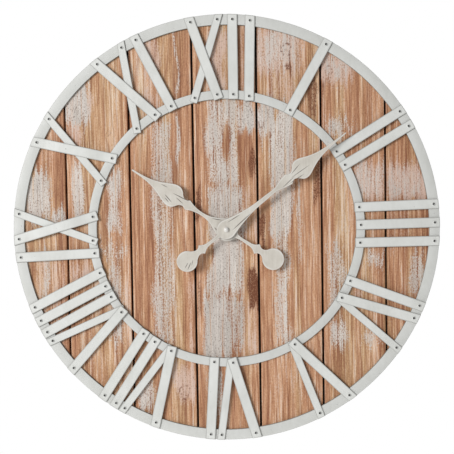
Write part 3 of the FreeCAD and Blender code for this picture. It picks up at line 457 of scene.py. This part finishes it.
def makePlanks(material):
    rim = abs(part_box("plank_1")[0].x * 1000 - dialCentre.x)
    for number in range(1, 8):
        name = "plank_%d" % number
        look = plankLooks[name]
        low, high = (corner * 1000 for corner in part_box(name))
        left, right = low.x - dialCentre.x, high.x - dialCentre.x
        r = plank["edgeRadius"]
        outerLeft, outerRight = left < 0.01 - rim, right > rim - 0.01
        count = int((right - left) / plank["columnStep"])
        columns = spaced(left, right, count, r, not outerLeft, not outerRight)
        if outerLeft or outerRight:
            # steps even in angle where the rim turns upright
            turn = np.arcsin(np.clip(columns / rim, -1, 1))
            even = rim * np.sin(np.linspace(turn[0], turn[-1], plank["rimSteps"]))
            columns = np.unique(np.concatenate([columns, even]))
        along = spaced(-1.0, 1.0, plank["rows"], 0.006)
        x, share = np.meshgrid(columns, along)
        reach = np.sqrt(np.maximum(rim ** 2 - columns ** 2, 0))
        z = share * reach
        side = np.full_like(x, 99.0)
        if not outerLeft:
            side = np.minimum(side, x - left)
        if not outerRight:
            side = np.minimum(side, right - x)
        toRim = rim - np.hypot(x, z)
        seed = 20 + number
        phase = ringPhase(x, z, look, seed)
        groove = np.clip(1 - np.abs(phase % 1 - 0.8) / 0.16, 0, 1)
        relief = plank["relief"] * (0.6 * groove + 0.4 * (0.5 + 0.5 * ripple(x, z, seed + 7, 12, 160)))
        knot = np.zeros_like(x)
        for knotX, knotZ, size, strength in look["knots"]:
            # a knot is a broken dark line round a paler heart
            apart = np.hypot(x - knotX, (z - knotZ) / 1.3)
            outline = size * (1 + 0.16 * np.sin(3 * np.arctan2(z - knotZ, x - knotX) + knotX))
            band = np.clip(1.3 - np.abs(apart - outline), 0, 1)
            heart = np.clip(0.9 - apart / (0.4 * size), 0, 1)
            knot = np.maximum(knot, strength * np.minimum(band + heart, 1))
        knot = np.maximum(knot, patchField(x, z, look["patches"], "burn", seed + 4))
        front = low.y + edgeFall(side, r) + edgeFall(toRim, plank["rimRadius"]) + relief
        points, quads = slab(x, z, front, high.y)
        covered = 1 - patchField(x, z, look["patches"], "bare", seed + 6)
        putPiece("board%d" % number, points, quads, material, [name], attributes={
            "ringPhase": both(phase), "knot": both(knot),
            "wash": both(covered * patchField(x, z, look["patches"], "wash", seed)),
            "rose": both(covered * patchField(x, z, look["patches"], "rose", seed + 1)),
            "tone": both(patchField(x, z, look["patches"], "tone", seed + 2))})
    print("planks made")


# the painted steel frame, with a near-black colour for the painted shade line along its cut edges
steel = {"paint": (0.665, 0.672, 0.645), "bright": (0.72, 0.727, 0.705), "dull": (0.60, 0.605, 0.575),
         "shadeLine": (0.16, 0.155, 0.14), "chip": (0.16, 0.15, 0.14),
         "ringWidth": {"outer_ring": 14.7, "inner_ring": 12.5}, "ringEdge": 0.6, "ringSteps": 360,
         "barEdge": 0.42, "barRows": 70, "barColumns": 9}
lettering = {
    "outerCircle": 292.65, "innerCircle": 188.95,  # radii that the rivets stand on
    "heavy": 14.0, "light": 10.8, "overhang": 6.8, "corner": 1.2, "joggle": 34.0, "margin": 1.0, "turn": -1.0,
    # strokes: (kind, outer offset, inner offset) from the hour line, clockwise positive
    "I": [("I", 1.0, 0.0)],
    "II": [("I", -12.0, -11.0), ("I", 12.0, 11.0)],
    "III": [("I", -26.0, -25.0), ("I", 0.0, 0.0), ("I", 26.0, 25.0)],
    "IV": [("I", -33.0, -18.0), ("V", 34.5, 12.0), ("O", -14.0, 8.5)],
    "V": [("V", 25.5, 7.5), ("O", -23.5, 4.0)],
    "VI": [("V", 16.5, 0.5), ("O", -32.0, -3.0), ("I", 32.0, 23.5)],
    "VII": [("V", 8.0, -8.5), ("O", -41.0, -12.0), ("I", 22.0, 14.5), ("I", 41.5, 34.0)],
    "VIII": [("V", -4.0, -17.5), ("O", -52.5, -21.0), ("I", 10.5, 5.0), ("I", 29.0, 22.0), ("I", 49.5, 42.0)],
    "IX": [("I", -30.0, -27.5), ("X", 31.5, -9.5), ("O", -4.0, 24.0)],
    "X": [("X", 19.5, -22.5), ("O", -17.5, 12.5)],
    "XI": [("X", 10.0, -32.0), ("O", -31.0, 0.0), ("I", 32.5, 25.5)],
    "XII": [("X", -3.0, -38.0), ("O", -40.5, -6.5), ("I", 18.0, 16.0), ("I", 42.5, 38.0)],
}
hourNames = ["I", "II", "III", "IV", "V", "VI", "VII", "VIII", "IX", "X", "XI", "XII"]


def framePaint():
    material, tree, shader = newFinish("framePaint", Roughness=0.42, **{"Specular IOR Level": 0.45})
    cloud = noise(tree, coordinates(tree), 24, 3, 0.5)
    brushed = noise(tree, coordinates(tree, (1, 1, 0.35)), 210, 3, 0.6)
    mottled = calc(tree, "MULTIPLY_ADD", cloud, 0.7, times(tree, brushed, 0.3))
    colour = ramp(tree, mottled, [(0.3, steel["dull"]), (0.5, steel["paint"]), (0.72, steel["bright"])])
    chips = calc(tree, "GREATER_THAN", noise(tree, coordinates(tree), 330, 2, 0.5), 0.765)
    colour = blend(tree, times(tree, chips, 0.55), colour, steel["chip"])
    # a painted dark line of shade along the cut edges, patchy under the cloud noise
    patchy = calc(tree, "MULTIPLY_ADD", cloud, 0.8, 0.45)
    paintedShade = calc(tree, "MULTIPLY", attribute(tree, "edge"), patchy, clamp=True)
    colour = blend(tree, paintedShade, colour, steel["shadeLine"])
    tree.links.new(colour, shader.inputs["Base Color"])
    bump(tree, shader, brushed, 0.00012, 0.5)
    return material


def edgeShadeFall(distance):
    # painted edge shade: 1 on the cut side, gone two thirds of a millimetre in from it
    return np.clip(1.15 - distance / 0.6, 0, 1)


def roundedBand(inner, outer, front, back, r):
    # closed section of a flat ring: two front edges rounded by quarter circles
    a = np.linspace(0, math.pi / 2, 5)
    left = [(inner + r * (1 - math.sin(t)), front + r * (1 - math.cos(t))) for t in a[::-1]]
    right = [(outer - r * (1 - math.sin(t)), front + r * (1 - math.cos(t))) for t in a]
    return [(inner, back)] + left + right + [(outer, back)]


def makeRings(material):
    for name in ("outer_ring", "inner_ring"):
        low, high = (corner * 1000 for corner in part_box(name))
        outer = (high.x - low.x) / 2
        width = steel["ringWidth"][name]
        section = roundedBand(outer - width, outer, low.y, high.y, steel["ringEdge"])
        points, _ = turned(section, [(0, 0, 0)], steel["ringSteps"])
        quads = gridQuads(len(section), steel["ringSteps"], wrapRows=True, wrapColumns=True)
        # the painted edge shade along both sides of the band
        fromEdge = np.minimum(np.array(section)[:, 0] - (outer - width), outer - np.array(section)[:, 0])
        edge = np.broadcast_to(edgeShadeFall(fromEdge)[:, None], (len(section), steel["ringSteps"]))
        putPiece(name.split("_")[0] + "Ring", points, quads, material, [name],
                 attributes={"edge": edge})
    print("rings made")


def rivetPlace(offset, circle):
    return offset, math.sqrt(circle ** 2 - offset ** 2)


def strokeLine(stroke):
    start = rivetPlace(stroke[2], lettering["innerCircle"])
    end = rivetPlace(stroke[1], lettering["outerCircle"])
    return start, math.atan2(end[0] - start[0], end[1] - start[1]), math.dist(start, end)


def lapZone(over, under):
    # stretch of the heavy stroke, from its inner rivet, that lies over the light one
    (x0, z0), lean, _ = strokeLine(over)
    (x1, z1), otherLean, _ = strokeLine(under)
    angle = lean - otherLean
    meet = ((x1 - x0) * math.cos(otherLean) - (z1 - z0) * math.sin(otherLean)) / math.sin(angle)
    across = lettering["light"] / 2 + lettering["heavy"] / 2 * abs(math.cos(angle))
    half = across / abs(math.sin(angle)) + lettering["margin"]
    return meet - half, meet + half


def smoothStep(value):
    value = np.clip(value, 0, 1)
    return value * value * (3 - 2 * value)


def barShape(stroke, strokes, seat, thickness):
    # flat bar from its inner rivet out to the dial's edge; where it laps another it rises on two soft bends
    start, lean, length = strokeLine(stroke)
    half = (lettering["heavy"] if stroke[0] in "IO" else lettering["light"]) / 2
    r = steel["barEdge"]
    w = spaced(-half, half, steel["barColumns"], r)
    sine, cosine = math.sin(lean), math.cos(lean)
    # the outer end follows the dial's edge: the distance along the bar at which it meets that circle
    offX, offZ = start[0] + w * cosine, start[1] - w * sine
    along = offX * sine + offZ * cosine
    end = -along + np.sqrt(along ** 2 - (offX ** 2 + offZ ** 2 - dialRadius ** 2))
    inner = -lettering["overhang"]
    share = spaced(0.0, 1.0, steel["barRows"], r / 110)
    w, share = np.meshgrid(w, share)
    # rounded inner corners: the bar's end steps back by a quarter circle near its sides
    corner = edgeFall(half - np.abs(w), lettering["corner"])
    first = inner + corner
    s = first + share * (end - first)
    rise = 0.0
    if stroke[0] == "O":
        under = [other for other in strokes if other[0] in "XV"][0]
        lapStart, lapEnd = lapZone(stroke, under)
        # as long and gentle as the bar's free length allows
        away = min(lettering["joggle"], length - 9 - lapEnd)
        rise = 1 - smoothStep((s - lapEnd) / away)
        if under[0] == "X":
            rise = rise * smoothStep((s - lapStart) / min(lettering["joggle"], lapStart - 8) + 1)
    rise = thickness * rise
    distance = np.minimum(half - np.abs(w), np.minimum(s - first, end - s))
    x = start[0] + s * sine + w * cosine
    z = start[1] + s * cosine - w * sine
    front = seat - thickness - rise + edgeFall(distance, r)
    # the last value is the painted edge shade, highest on the cut side
    return slab(x, z, front, seat - rise + 0 * x) + (both(edgeShadeFall(distance)),)


def makeNumerals(material):
    seat = frontOf("outer_ring")
    thickness = seat - frontOf("numeral_I")
    for hour, name in enumerate(hourNames, 1):
        strokes = lettering[name]
        shapes = [barShape(stroke, strokes, seat, thickness) for stroke in strokes]
        points, quads = merged([shape[:2] for shape in shapes])
        points = turnedClockwise(points, 30 * hour + lettering["turn"])
        edge = np.concatenate([shape[2] for shape in shapes])
        putPiece("numeral" + name, points, quads, material, ["numeral_" + name],
                 attributes={"edge": edge})
    print("numerals made")


rivet = {"steps": 18, "shank": 1.4,
         # (radius, height) of a small closed-end rivet: a rounded lip round a recessed middle
         "lip": [(2.2, 0.0), (2.2, 0.3), (2.16, 0.7), (2.06, 0.95), (1.9, 1.06), (1.72, 1.04), (1.6, 0.9),
                 (1.56, 0.5), (1.53, 0.12), (1.35, 0.06), (0.0, 0.05)],
         # how strongly painted shade darkens each row of that profile in the recess, its first three rows
         # being the hidden shank
         "recessShade": [0.0] * 9 + [0.5, 0.9, 0.97, 0.97, 0.9], "shankDepth": 1.2, "hole": (0.045, 0.042, 0.04)}


def rivetPaint():
    material, tree, shader = newFinish("rivetPaint", Roughness=0.38, **{"Specular IOR Level": 0.5})
    cloud = noise(tree, coordinates(tree), 160, 2, 0.5)
    colour = ramp(tree, cloud, [(0.3, steel["dull"]), (0.7, steel["bright"])])
    # painted shade: the recess is darkened towards near black
    colour = blend(tree, attribute(tree, "recessShade"), colour, rivet["hole"])
    tree.links.new(colour, shader.inputs["Base Color"])
    bump(tree, shader, cloud, 0.0001, 0.4)
    return material


def makeRivets(material):
    seat = frontOf("outer_ring")
    thickness = seat - frontOf("numeral_I")
    places = {"inner": [], "outer": []}
    for hour, name in enumerate(hourNames, 1):
        strokes = lettering[name]
        turn = 30 * hour + lettering["turn"]
        lapped = any(stroke[0] == "V" for stroke in strokes)
        for stroke in strokes:
            x, z = rivetPlace(stroke[1], lettering["outerCircle"])
            places["outer"].append(turnedClockwise(np.array([x, seat - thickness, z]), turn))
            if stroke[0] != "V":
                raised = thickness if stroke[0] == "O" and lapped else 0.0
                x, z = rivetPlace(stroke[2], lettering["innerCircle"])
                places["inner"].append(turnedClockwise(np.array([x, seat - thickness - raised, z]), turn))
    lip = rivet["lip"]
    shank, depth = rivet["shank"], rivet["shankDepth"]
    profile = [(0.0, depth), (shank, depth), (shank, 0.0)] + [(r, -h) for r, h in lip]
    recessShade = np.array(rivet["recessShade"])
    for side, found in places.items():
        found = np.array(found)[:, [0, 2, 1]]
        points, quads = turned(profile, found, rivet["steps"])
        values = np.broadcast_to(recessShade[None, :, None], points.shape[:3])
        putPiece(side + "Rivets", points, quads, material, ["rivets_" + side],
                 attributes={"recessShade": values})
    print("rivets made:", sum(len(found) for found in places.values()))


hands = {
    "hour": {"turn": -56.7, "hub": 16.2, "disc": (-77.7, 15.4), "blade": [
        [(155.0, 1.3), (138.0, 1.9), (122.0, 4.4), (104.0, 11.2), (93.0, 15.6), (84.5, 15.6), (78.5, 11.2),
         (74.0, 6.2), (69.0, 5.2), (64.3, 7.6)],
        [(64.3, 7.6), (56.0, 4.4), (46.0, 2.6), (36.0, 2.6), (26.0, 4.6), (14.0, 10.4), (4.0, 15.4)]],
        "tail": [[(-16.8, 3.6), (-21.0, 2.5), (-34.0, 2.4), (-44.0, 3.4), (-51.0, 8.1)],
                 [(-51.0, 8.1), (-54.5, 5.0), (-59.0, 4.3), (-64.2, 7.4)]]},
    "minute": {"turn": 51.9, "hub": 13.4, "disc": (-70.6, 14.7), "blade": [
        [(213.0, 0.9), (196.0, 1.7), (176.0, 3.0), (160.0, 6.0), (146.0, 11.4), (137.0, 14.6), (129.0, 13.4),
         (123.0, 7.6), (117.5, 5.2), (112.0, 8.4)],
        [(112.0, 8.4), (101.0, 6.4), (90.0, 3.2), (76.0, 3.0), (58.0, 3.4), (38.0, 5.2), (16.0, 9.8),
         (5.0, 12.8)]],
        "tail": [[(-13.6, 3.2), (-18.0, 2.4), (-29.0, 2.4), (-37.0, 3.4), (-44.0, 7.6)],
                 [(-44.0, 7.6), (-47.0, 4.8), (-51.0, 4.3), (-57.6, 7.6)]]},
    "edge": 0.36, "step": 0.9, "markWidth": 1.5,
    "paint": (0.585, 0.55, 0.49), "light": (0.66, 0.635, 0.58), "dark": (0.49, 0.455, 0.40),
    # the rim colour is a painted highlight; the darkest colour serves both the scratches and the painted
    # shade at the edge
    "rim": (0.72, 0.70, 0.66), "scratchAndShade": (0.12, 0.105, 0.09),
    # scratches: start and end as (along, across) from the arbor, and how wide
    "marks": {
        "hour": [((64.0, 5.5), (92.0, 3.0), 0.5), ((84.0, -9.0), (100.0, -4.0), 0.5),
                 ((88.0, -11.0), (97.0, -8.0), 0.45), ((70.0, -2.0), (84.0, 0.5), 0.4),
                 ((100.0, 6.0), (112.0, 5.0), 0.35), ((12.0, 8.0), (26.0, 2.0), 0.45),
                 ((8.0, -9.0), (16.0, -6.0), 0.5), ((-12.0, 8.0), (-6.0, 12.0), 0.4)],
        "minute": [((4.0, 6.0), (44.0, 3.6), 0.5), ((6.0, -7.0), (30.0, -4.0), 0.4),
                   ((96.0, 4.0), (122.0, 2.0), 0.4), ((108.0, 5.5), (134.0, 8.0), 0.45),
                   ((112.0, 0.5), (150.0, 3.0), 0.35), ((118.0, -3.0), (138.0, -7.0), 0.4),
                   ((-66.0, 4.0), (-78.0, 10.0), 0.45), ((-70.0, 2.0), (-80.0, 6.0), 0.4),
                   ((-62.0, 3.0), (-70.0, 9.0), 0.35)]},
}
capNut = {"skirt": 0.9, "backEdge": 0.2, "backInset": 0.15, "steps": 48,
          "dark": (0.64, 0.625, 0.59), "light": (0.78, 0.77, 0.74)}


def throughPoints(points, step):
    # smooth line through the points: a natural cubic on the length along them, sampled evenly
    points = np.array(points, dtype=float)
    knots = np.concatenate([[0], np.cumsum(np.hypot(*np.diff(points, axis=0).T))])
    gap = np.diff(knots)
    count = len(points)
    system, right = np.eye(count), np.zeros((count, 2))
    inner = np.arange(1, count - 1)
    system[inner, inner - 1], system[inner, inner + 1] = gap[:-1], gap[1:]
    system[inner, inner] = 2 * (gap[:-1] + gap[1:])
    slope = np.diff(points, axis=0) / gap[:, None]
    right[1:-1] = 6 * np.diff(slope, axis=0)
    bend = np.linalg.solve(system, right)
    at = np.linspace(0, knots[-1], max(6, int(knots[-1] / step)))
    piece = np.clip(np.searchsorted(knots, at, side="right") - 1, 0, count - 2)
    h, a, b = gap[piece], (knots[piece + 1] - at) / gap[piece], (at - knots[piece]) / gap[piece]
    curve = a[:, None] * points[piece] + b[:, None] * points[piece + 1]
    pull = lambda t: ((t ** 3 - t) * h ** 2 / 6)[:, None]
    return curve + (pull(a) * bend[piece] + pull(b) * bend[piece + 1])


def handEdge(look):
    # half outline from the tip to the far side of the counterweight, as (along, half width)
    step = hands["step"]
    tip, tipWidth = look["blade"][0][0]
    a = np.linspace(0, math.pi / 2, 5)
    parts = [np.stack([tip + tipWidth * np.cos(a), tipWidth * np.sin(a)], -1)]
    parts += [throughPoints(points, step)[1:] for points in look["blade"]]
    start, end = np.array(look["blade"][-1][-1]), np.array(look["tail"][0][0])
    turn = np.linspace(math.atan2(start[1], start[0]), math.atan2(end[1], end[0]), 22)[1:]
    size = np.interp(turn, [turn[0], turn[len(turn) // 2], turn[-1]],
                     [math.hypot(*start), look["hub"], math.hypot(*end)])
    parts.append(np.stack([size * np.cos(turn), size * np.sin(turn)], -1))
    parts += [throughPoints(points, step)[1:] for points in look["tail"]]
    centre, radius = look["disc"]
    neck = look["tail"][-1][-1]
    turn = np.linspace(math.atan2(neck[1], neck[0] - centre), math.pi, 44)[1:]
    parts.append(np.stack([centre + radius * np.cos(turn), radius * np.sin(turn)], -1))
    return np.concatenate(parts)


def handPaint(name, look, scratches):
    # pale warm paint with a painted highlight a little in from the edge, a painted dark line of shade on the
    # very edge, and knife-like marks, each a thin tapered line on the hand
    material, tree, shader = newFinish(name, Roughness=0.5, **{"Specular IOR Level": 0.4})
    cloud = noise(tree, coordinates(tree), 46, 4, 0.6)
    lean = (0, math.radians(-look["turn"]), 0)
    brushed = noise(tree, coordinates(tree, (1, 1, 0.08), turn=lean), 500, 3, 0.6)
    mixed = calc(tree, "MULTIPLY_ADD", cloud, 0.65, times(tree, brushed, 0.35))
    colour = ramp(tree, mixed, [(0.3, hands["dark"]), (0.5, hands["paint"]), (0.72, hands["light"])])
    # painted highlight along the rim, then painted shade on the outermost edge in the marks' dark colour
    rim = attribute(tree, "rim")
    colour = blend(tree, times(tree, rim, 0.8), colour, hands["rim"])
    colour = blend(tree, times(tree, attribute(tree, "edge"), 0.75), colour, hands["scratchAndShade"])
    along, across = attribute(tree, "along"), attribute(tree, "across")
    marks = None
    for (s0, w0), (s1, w1), width in scratches:
        length = math.hypot(s1 - s0, w1 - w0)
        ds, dw = (s1 - s0) / length, (w1 - w0) / length
        # distance along and away from the mark's own line
        level = calc(tree, "MULTIPLY_ADD", across, dw, -(s0 * ds + w0 * dw))
        here = calc(tree, "MULTIPLY_ADD", along, ds, level)
        level = calc(tree, "MULTIPLY_ADD", across, ds, s0 * dw - w0 * ds)
        away = calc(tree, "MULTIPLY_ADD", along, -dw, level)
        taper = times(tree, times(tree, here, calc(tree, "SUBTRACT", length, here)),
                      4 * hands["markWidth"] * width / length ** 2)
        mark = cover(tree, calc(tree, "SUBTRACT", taper, calc(tree, "ABSOLUTE", away)), 4.0, 0.0)
        marks = mark if marks is None else calc(tree, "MAXIMUM", marks, mark)
    colour = blend(tree, times(tree, marks, 0.9), colour, hands["scratchAndShade"])
    tree.links.new(colour, shader.inputs["Base Color"])
    height = calc(tree, "SUBTRACT", times(tree, brushed, 0.35), marks)
    bump(tree, shader, height, 0.0002, 0.6)
    return material


def makeHand(kind):
    look = hands[kind]
    node = kind + "_hand"
    front, back = frontOf(node), backOf(node)
    edge = handEdge(look)
    s, half = edge[:, 0], np.maximum(edge[:, 1], 0)
    r = hands["edge"]
    # columns keep fixed distances from the edge, closer together where the hand is narrow
    fromEdge = np.array([0.0, 0.03, 0.12, 0.24, 0.36, 0.8])
    share = np.linspace(0, 1, 7)[1:]
    near = np.minimum(fromEdge, half[:, None] * np.array([0, 0.05, 0.14, 0.27, 0.42, 0.6]))
    rest = near[:, -1:] + (half[:, None] - near[:, -1:]) * share
    inset = np.concatenate([near, rest], 1)
    across = np.concatenate([half[:, None] - inset, (inset - half[:, None])[:, -2::-1]], 1)
    along = np.repeat(s[:, None], across.shape[1], 1)
    # distance of each point to the outline, taken to its nearest straight piece
    a, b = edge[:-1], edge[1:]
    run = b - a
    size = np.maximum((run ** 2).sum(1), 1e-9)
    grid = np.stack([along, np.abs(across)], -1).reshape(-1, 1, 2)
    t = np.clip(((grid - a) * run).sum(2) / size, 0, 1)
    distance = np.sqrt((((a + t[..., None] * run) - grid) ** 2).sum(2)).min(1).reshape(across.shape)
    height = front + edgeFall(distance, r)
    points, quads = slab(across, along, height, back)
    points = turnedClockwise(points, look["turn"])
    # a painted highlight band near the edge, and painted shade on the outermost edge
    rim = np.clip(1 - np.abs(distance - 0.75) / 0.6, 0, 1)
    outlineShade = np.clip(1 - distance / 0.4, 0, 1)
    material = handPaint(kind + "HandPaint", look, hands["marks"][kind])
    putPiece(kind + "Hand", points, quads, material, [node], body=kind, attributes={
        "along": both(along), "across": both(across), "rim": both(rim), "edge": both(outlineShade)})


def makeHands():
    makeHand("hour")
    makeHand("minute")
    low, high = (corner * 1000 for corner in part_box("cap_nut"))
    radius, tall = (high.x - low.x) / 2, high.y - low.y
    a = np.linspace(0, math.pi / 2, 12)
    # domed cap: a short upright skirt under a flattened quarter ellipse
    profile = [(0.0, high.y), (radius - capNut["backInset"], high.y), (radius, high.y - capNut["backEdge"])]
    profile += [(radius * math.cos(t), low.y + (tall - capNut["skirt"]) * (1 - math.sin(t))) for t in a]
    points, quads = turned(profile, [(0, 0, 0)], capNut["steps"])
    material, tree, shader = newFinish("capPaint", Roughness=0.35, **{"Specular IOR Level": 0.5})
    cloud = noise(tree, coordinates(tree), 420, 3, 0.6)
    colour = ramp(tree, cloud, [(0.3, capNut["dark"]), (0.7, capNut["light"])])
    tree.links.new(colour, shader.inputs["Base Color"])
    bump(tree, shader, cloud, 0.0001, 0.3)
    putPiece("capNut", points, quads, material, ["cap_nut"], body="minute")
    print("hands made")


# pieces that keep their shape only take a finish
def simpleFinish(name, low, high, scale, stretch=(1, 1, 1), rough=0.5, metal=0.0, height=0.0001):
    # two tones driven by one noise, with the same noise as a slight relief
    material, tree, shader = newFinish(name, Roughness=rough, Metallic=metal)
    grain = noise(tree, coordinates(tree, stretch), scale, 4, 0.6)
    tree.links.new(ramp(tree, grain, [(0.3, low), (0.7, high)]), shader.inputs["Base Color"])
    bump(tree, shader, grain, height, 0.6)
    return material


def battenPine():
    material, tree, shader = newFinish("battenPine", Roughness=0.68, **{"Specular IOR Level": 0.25})
    fine = noise(tree, coordinates(tree, (0.04, 1, 1)), 600, 4, 0.6)
    wide = noise(tree, coordinates(tree, (0.03, 1, 1)), 110, 3, 0.6, 0.4)
    colour = ramp(tree, calc(tree, "MULTIPLY_ADD", wide, 0.7, times(tree, fine, 0.3)),
                  [(0.3, (0.36, 0.21, 0.11)), (0.5, (0.55, 0.37, 0.21)), (0.7, (0.68, 0.50, 0.32))])
    tree.links.new(colour, shader.inputs["Base Color"])
    bump(tree, shader, fine, 0.0003, 0.7)
    return material


battery = {"bandFrom": 0.0105, "tipFrom": 0.0232, "tip": (0.60, 0.60, 0.58),
           "body": [(0.3, (0.022, 0.024, 0.028)), (0.7, (0.04, 0.042, 0.048))],
           "band": [(0.3, (0.50, 0.23, 0.08)), (0.7, (0.62, 0.31, 0.12))]}


def batterySleeve():
    # shrunk sleeve: a dark body with a copper-coloured band towards the tip end
    material, tree, shader = newFinish("batterySleeve", Roughness=0.3, **{"Specular IOR Level": 0.5})
    separate = tree.nodes.new("ShaderNodeSeparateXYZ")
    tree.links.new(coordinates(tree), separate.inputs[0])
    band = calc(tree, "GREATER_THAN", separate.outputs["X"], battery["bandFrom"])
    tip = calc(tree, "GREATER_THAN", separate.outputs["X"], battery["tipFrom"])
    grain = noise(tree, coordinates(tree), 300, 3, 0.5)
    colour = blend(tree, band, ramp(tree, grain, battery["body"]), ramp(tree, grain, battery["band"]))
    colour = blend(tree, tip, colour, battery["tip"])
    tree.links.new(colour, shader.inputs["Base Color"])
    tree.links.new(calc(tree, "MULTIPLY_ADD", band, 0.6, 0.1), shader.inputs["Metallic"])
    bump(tree, shader, grain, 0.00005, 0.3)
    return material


# per slot: material name, dark tone, light tone, scale of its noise, then what differs from a plain finish
plainFinishes = {
    "backing_board": ("backingBoard", (0.012, 0.009, 0.007), (0.03, 0.023, 0.018), 900, {"rough": 0.8}),
    "zinc_steel": ("zincSteel", (0.46, 0.47, 0.46), (0.62, 0.62, 0.59), 700, {"rough": 0.34, "metal": 1.0}),
    "pad_felt": ("padFelt", (0.02, 0.02, 0.021), (0.06, 0.06, 0.062), 1800,
                 {"rough": 0.95, "height": 0.0004}),
    "cap_paint": ("collarPaint", (0.62, 0.60, 0.56), (0.72, 0.71, 0.68), 400, {"rough": 0.4}),
    "hand_paint": ("collarEnamel", (0.54, 0.51, 0.46), (0.64, 0.61, 0.56), 400, {"rough": 0.45}),
    "case_plastic": ("casePlastic", (0.014, 0.014, 0.015), (0.024, 0.024, 0.026), 2600, {"rough": 0.46}),
    "knob_plastic": ("knobPlastic", (0.03, 0.03, 0.032), (0.05, 0.05, 0.052), 1500, {"rough": 0.4}),
    "brass": ("brassParts", (0.60, 0.42, 0.17), (0.72, 0.54, 0.25), 800, {"rough": 0.3, "metal": 1.0}),
    "wheel_plastic": ("wheelPlastic", (0.62, 0.60, 0.54), (0.74, 0.72, 0.66), 1500, {"rough": 0.42}),
    "plate_plastic": ("platePlastic", (0.50, 0.49, 0.45), (0.60, 0.59, 0.55), 1300, {"rough": 0.5}),
    "gasket_rubber": ("gasketRubber", (0.016, 0.016, 0.016), (0.035, 0.035, 0.035), 1600, {"rough": 0.85}),
    "copper_wire": ("copperWire", (0.50, 0.20, 0.08), (0.70, 0.33, 0.15), 2600,
                    {"stretch": (1, 0.1, 0.1), "rough": 0.32, "metal": 1.0, "height": 0.0003}),
    "board_laminate": ("boardLaminate", (0.035, 0.12, 0.05), (0.05, 0.17, 0.075), 1500, {"rough": 0.4}),
    "contact_steel": ("contactSteel", (0.52, 0.52, 0.51), (0.68, 0.68, 0.66), 900,
                      {"rough": 0.25, "metal": 1.0}),
}


def finishCarriedPieces(made):
    carried = {slot: simpleFinish(*tones, **rest) for slot, (*tones, rest) in plainFinishes.items()}
    carried.update({"batten_pine": battenPine(), "battery_sleeve": batterySleeve()}, **made)
    for name, node in cadNodes.items():
        slotName = node.data.materials[0].name.split(".")[0] if node.data.materials else ""
        if slotName not in carried:
            print("no finish for", name, slotName)
            continue
        for index in range(len(node.data.materials)):
            node.data.materials[index] = carried[slotName]
    print("carried pieces finished")


def makeStudio():
    studio = {"floorDrop": 1.25, "floorHalf": 1.6, "floorGlow": 0.42, "ambient": 0.315, "lampAway": 4.2,
              "lampSize": 1.8, "key": (148.0, (-0.9, -1.0, 0.28)), "rear": (95.0, (0.5, 1.0, 0.7))}
    centre = dialCentre / 1000
    # a key lamp in front at the left, and a weaker lamp behind that shows the back
    for name in ("key", "rear"):
        power, side = studio[name]
        light = bpy.data.lights.new(name + "Light", "AREA")
        light.shape, light.size, light.energy = "DISK", studio["lampSize"], power
        lamp = bpy.data.objects.new(name + "Light", light)
        towards = Vector(side).normalized()
        lamp.location = centre + towards * studio["lampAway"]
        lamp.rotation_mode = "QUATERNION"
        lamp.rotation_quaternion = towards.to_track_quat("Z", "Y")
        bpy.context.scene.collection.objects.link(lamp)

    # the world is pure white where the camera looks past the clock, and a soft fill everywhere else
    world = bpy.data.worlds.new("studioWorld")
    world.use_nodes = True
    tree = world.node_tree
    tree.nodes.clear()
    output = tree.nodes.new("ShaderNodeOutputWorld")
    fill, page = tree.nodes.new("ShaderNodeBackground"), tree.nodes.new("ShaderNodeBackground")
    fill.inputs[0].default_value, fill.inputs[1].default_value = (1, 1, 1, 1), studio["ambient"]
    page.inputs[0].default_value, page.inputs[1].default_value = (1, 1, 1, 1), 1.0
    path, pick = tree.nodes.new("ShaderNodeLightPath"), tree.nodes.new("ShaderNodeMixShader")
    tree.links.new(path.outputs["Is Camera Ray"], pick.inputs[0])
    tree.links.new(fill.outputs[0], pick.inputs[1])
    tree.links.new(page.outputs[0], pick.inputs[2])
    tree.links.new(pick.outputs[0], output.inputs[0])
    bpy.context.scene.world = world

    half, drop = studio["floorHalf"], centre.z - studio["floorDrop"]
    floorMesh = bpy.data.meshes.new("studioFloor")
    corners = [(-half, -half, drop), (half, -half, drop), (half, half, drop), (-half, half, drop)]
    floorMesh.from_pydata(corners, [], [(0, 1, 2, 3)])
    material, _, shader = newFinish("floorPaper", Roughness=0.9)
    shader.inputs["Base Color"].default_value = (0.88, 0.88, 0.87, 1)
    shader.inputs["Emission Color"].default_value = (1, 1, 1, 1)
    shader.inputs["Emission Strength"].default_value = studio["floorGlow"]
    floorMesh.materials.append(material)
    floor = bpy.data.objects.new("studioFloor", floorMesh)
    bpy.context.scene.collection.objects.link(floor)

    shot = {"azimuth": 0.523, "elevation": 2.605, "distance": 1.1529, "lens": 64.95, "roll": -0.951,
            "aim": (0.00095, -0.036, 0.003256)}
    az, el, roll = (math.radians(shot[key]) for key in ("azimuth", "elevation", "roll"))
    back = Vector((math.sin(az) * math.cos(el), -math.cos(az) * math.cos(el), math.sin(el)))
    right = Vector((0, 0, 1)).cross(back).normalized()
    up = back.cross(right)
    rightTurned = right * math.cos(roll) + up * math.sin(roll)
    upTurned = up * math.cos(roll) - right * math.sin(roll)
    camera = bpy.data.objects.new("studioCamera", bpy.data.cameras.new("studioCamera"))
    camera.data.lens, camera.data.sensor_width = shot["lens"], 36.0
    aim = Vector((centre.x, 0, centre.z)) + Vector(shot["aim"])
    spin = Matrix((rightTurned, upTurned, back)).transposed().to_4x4()
    camera.matrix_world = Matrix.Translation(aim + back * shot["distance"]) @ spin
    bpy.context.scene.collection.objects.link(camera)
    bpy.context.scene.camera = camera
    bpy.context.scene.view_settings.view_transform = "Standard"
    print("studio ready")


makeStudio()
pinePaint, steelPaint, rivetFinish = washedPine(), framePaint(), rivetPaint()
makePlanks(pinePaint)
makeRings(steelPaint)
makeNumerals(steelPaint)
makeRivets(rivetFinish)
makeHands()
finishCarriedPieces({"washed_pine": pinePaint, "frame_paint": steelPaint, "rivet_paint": rivetFinish})
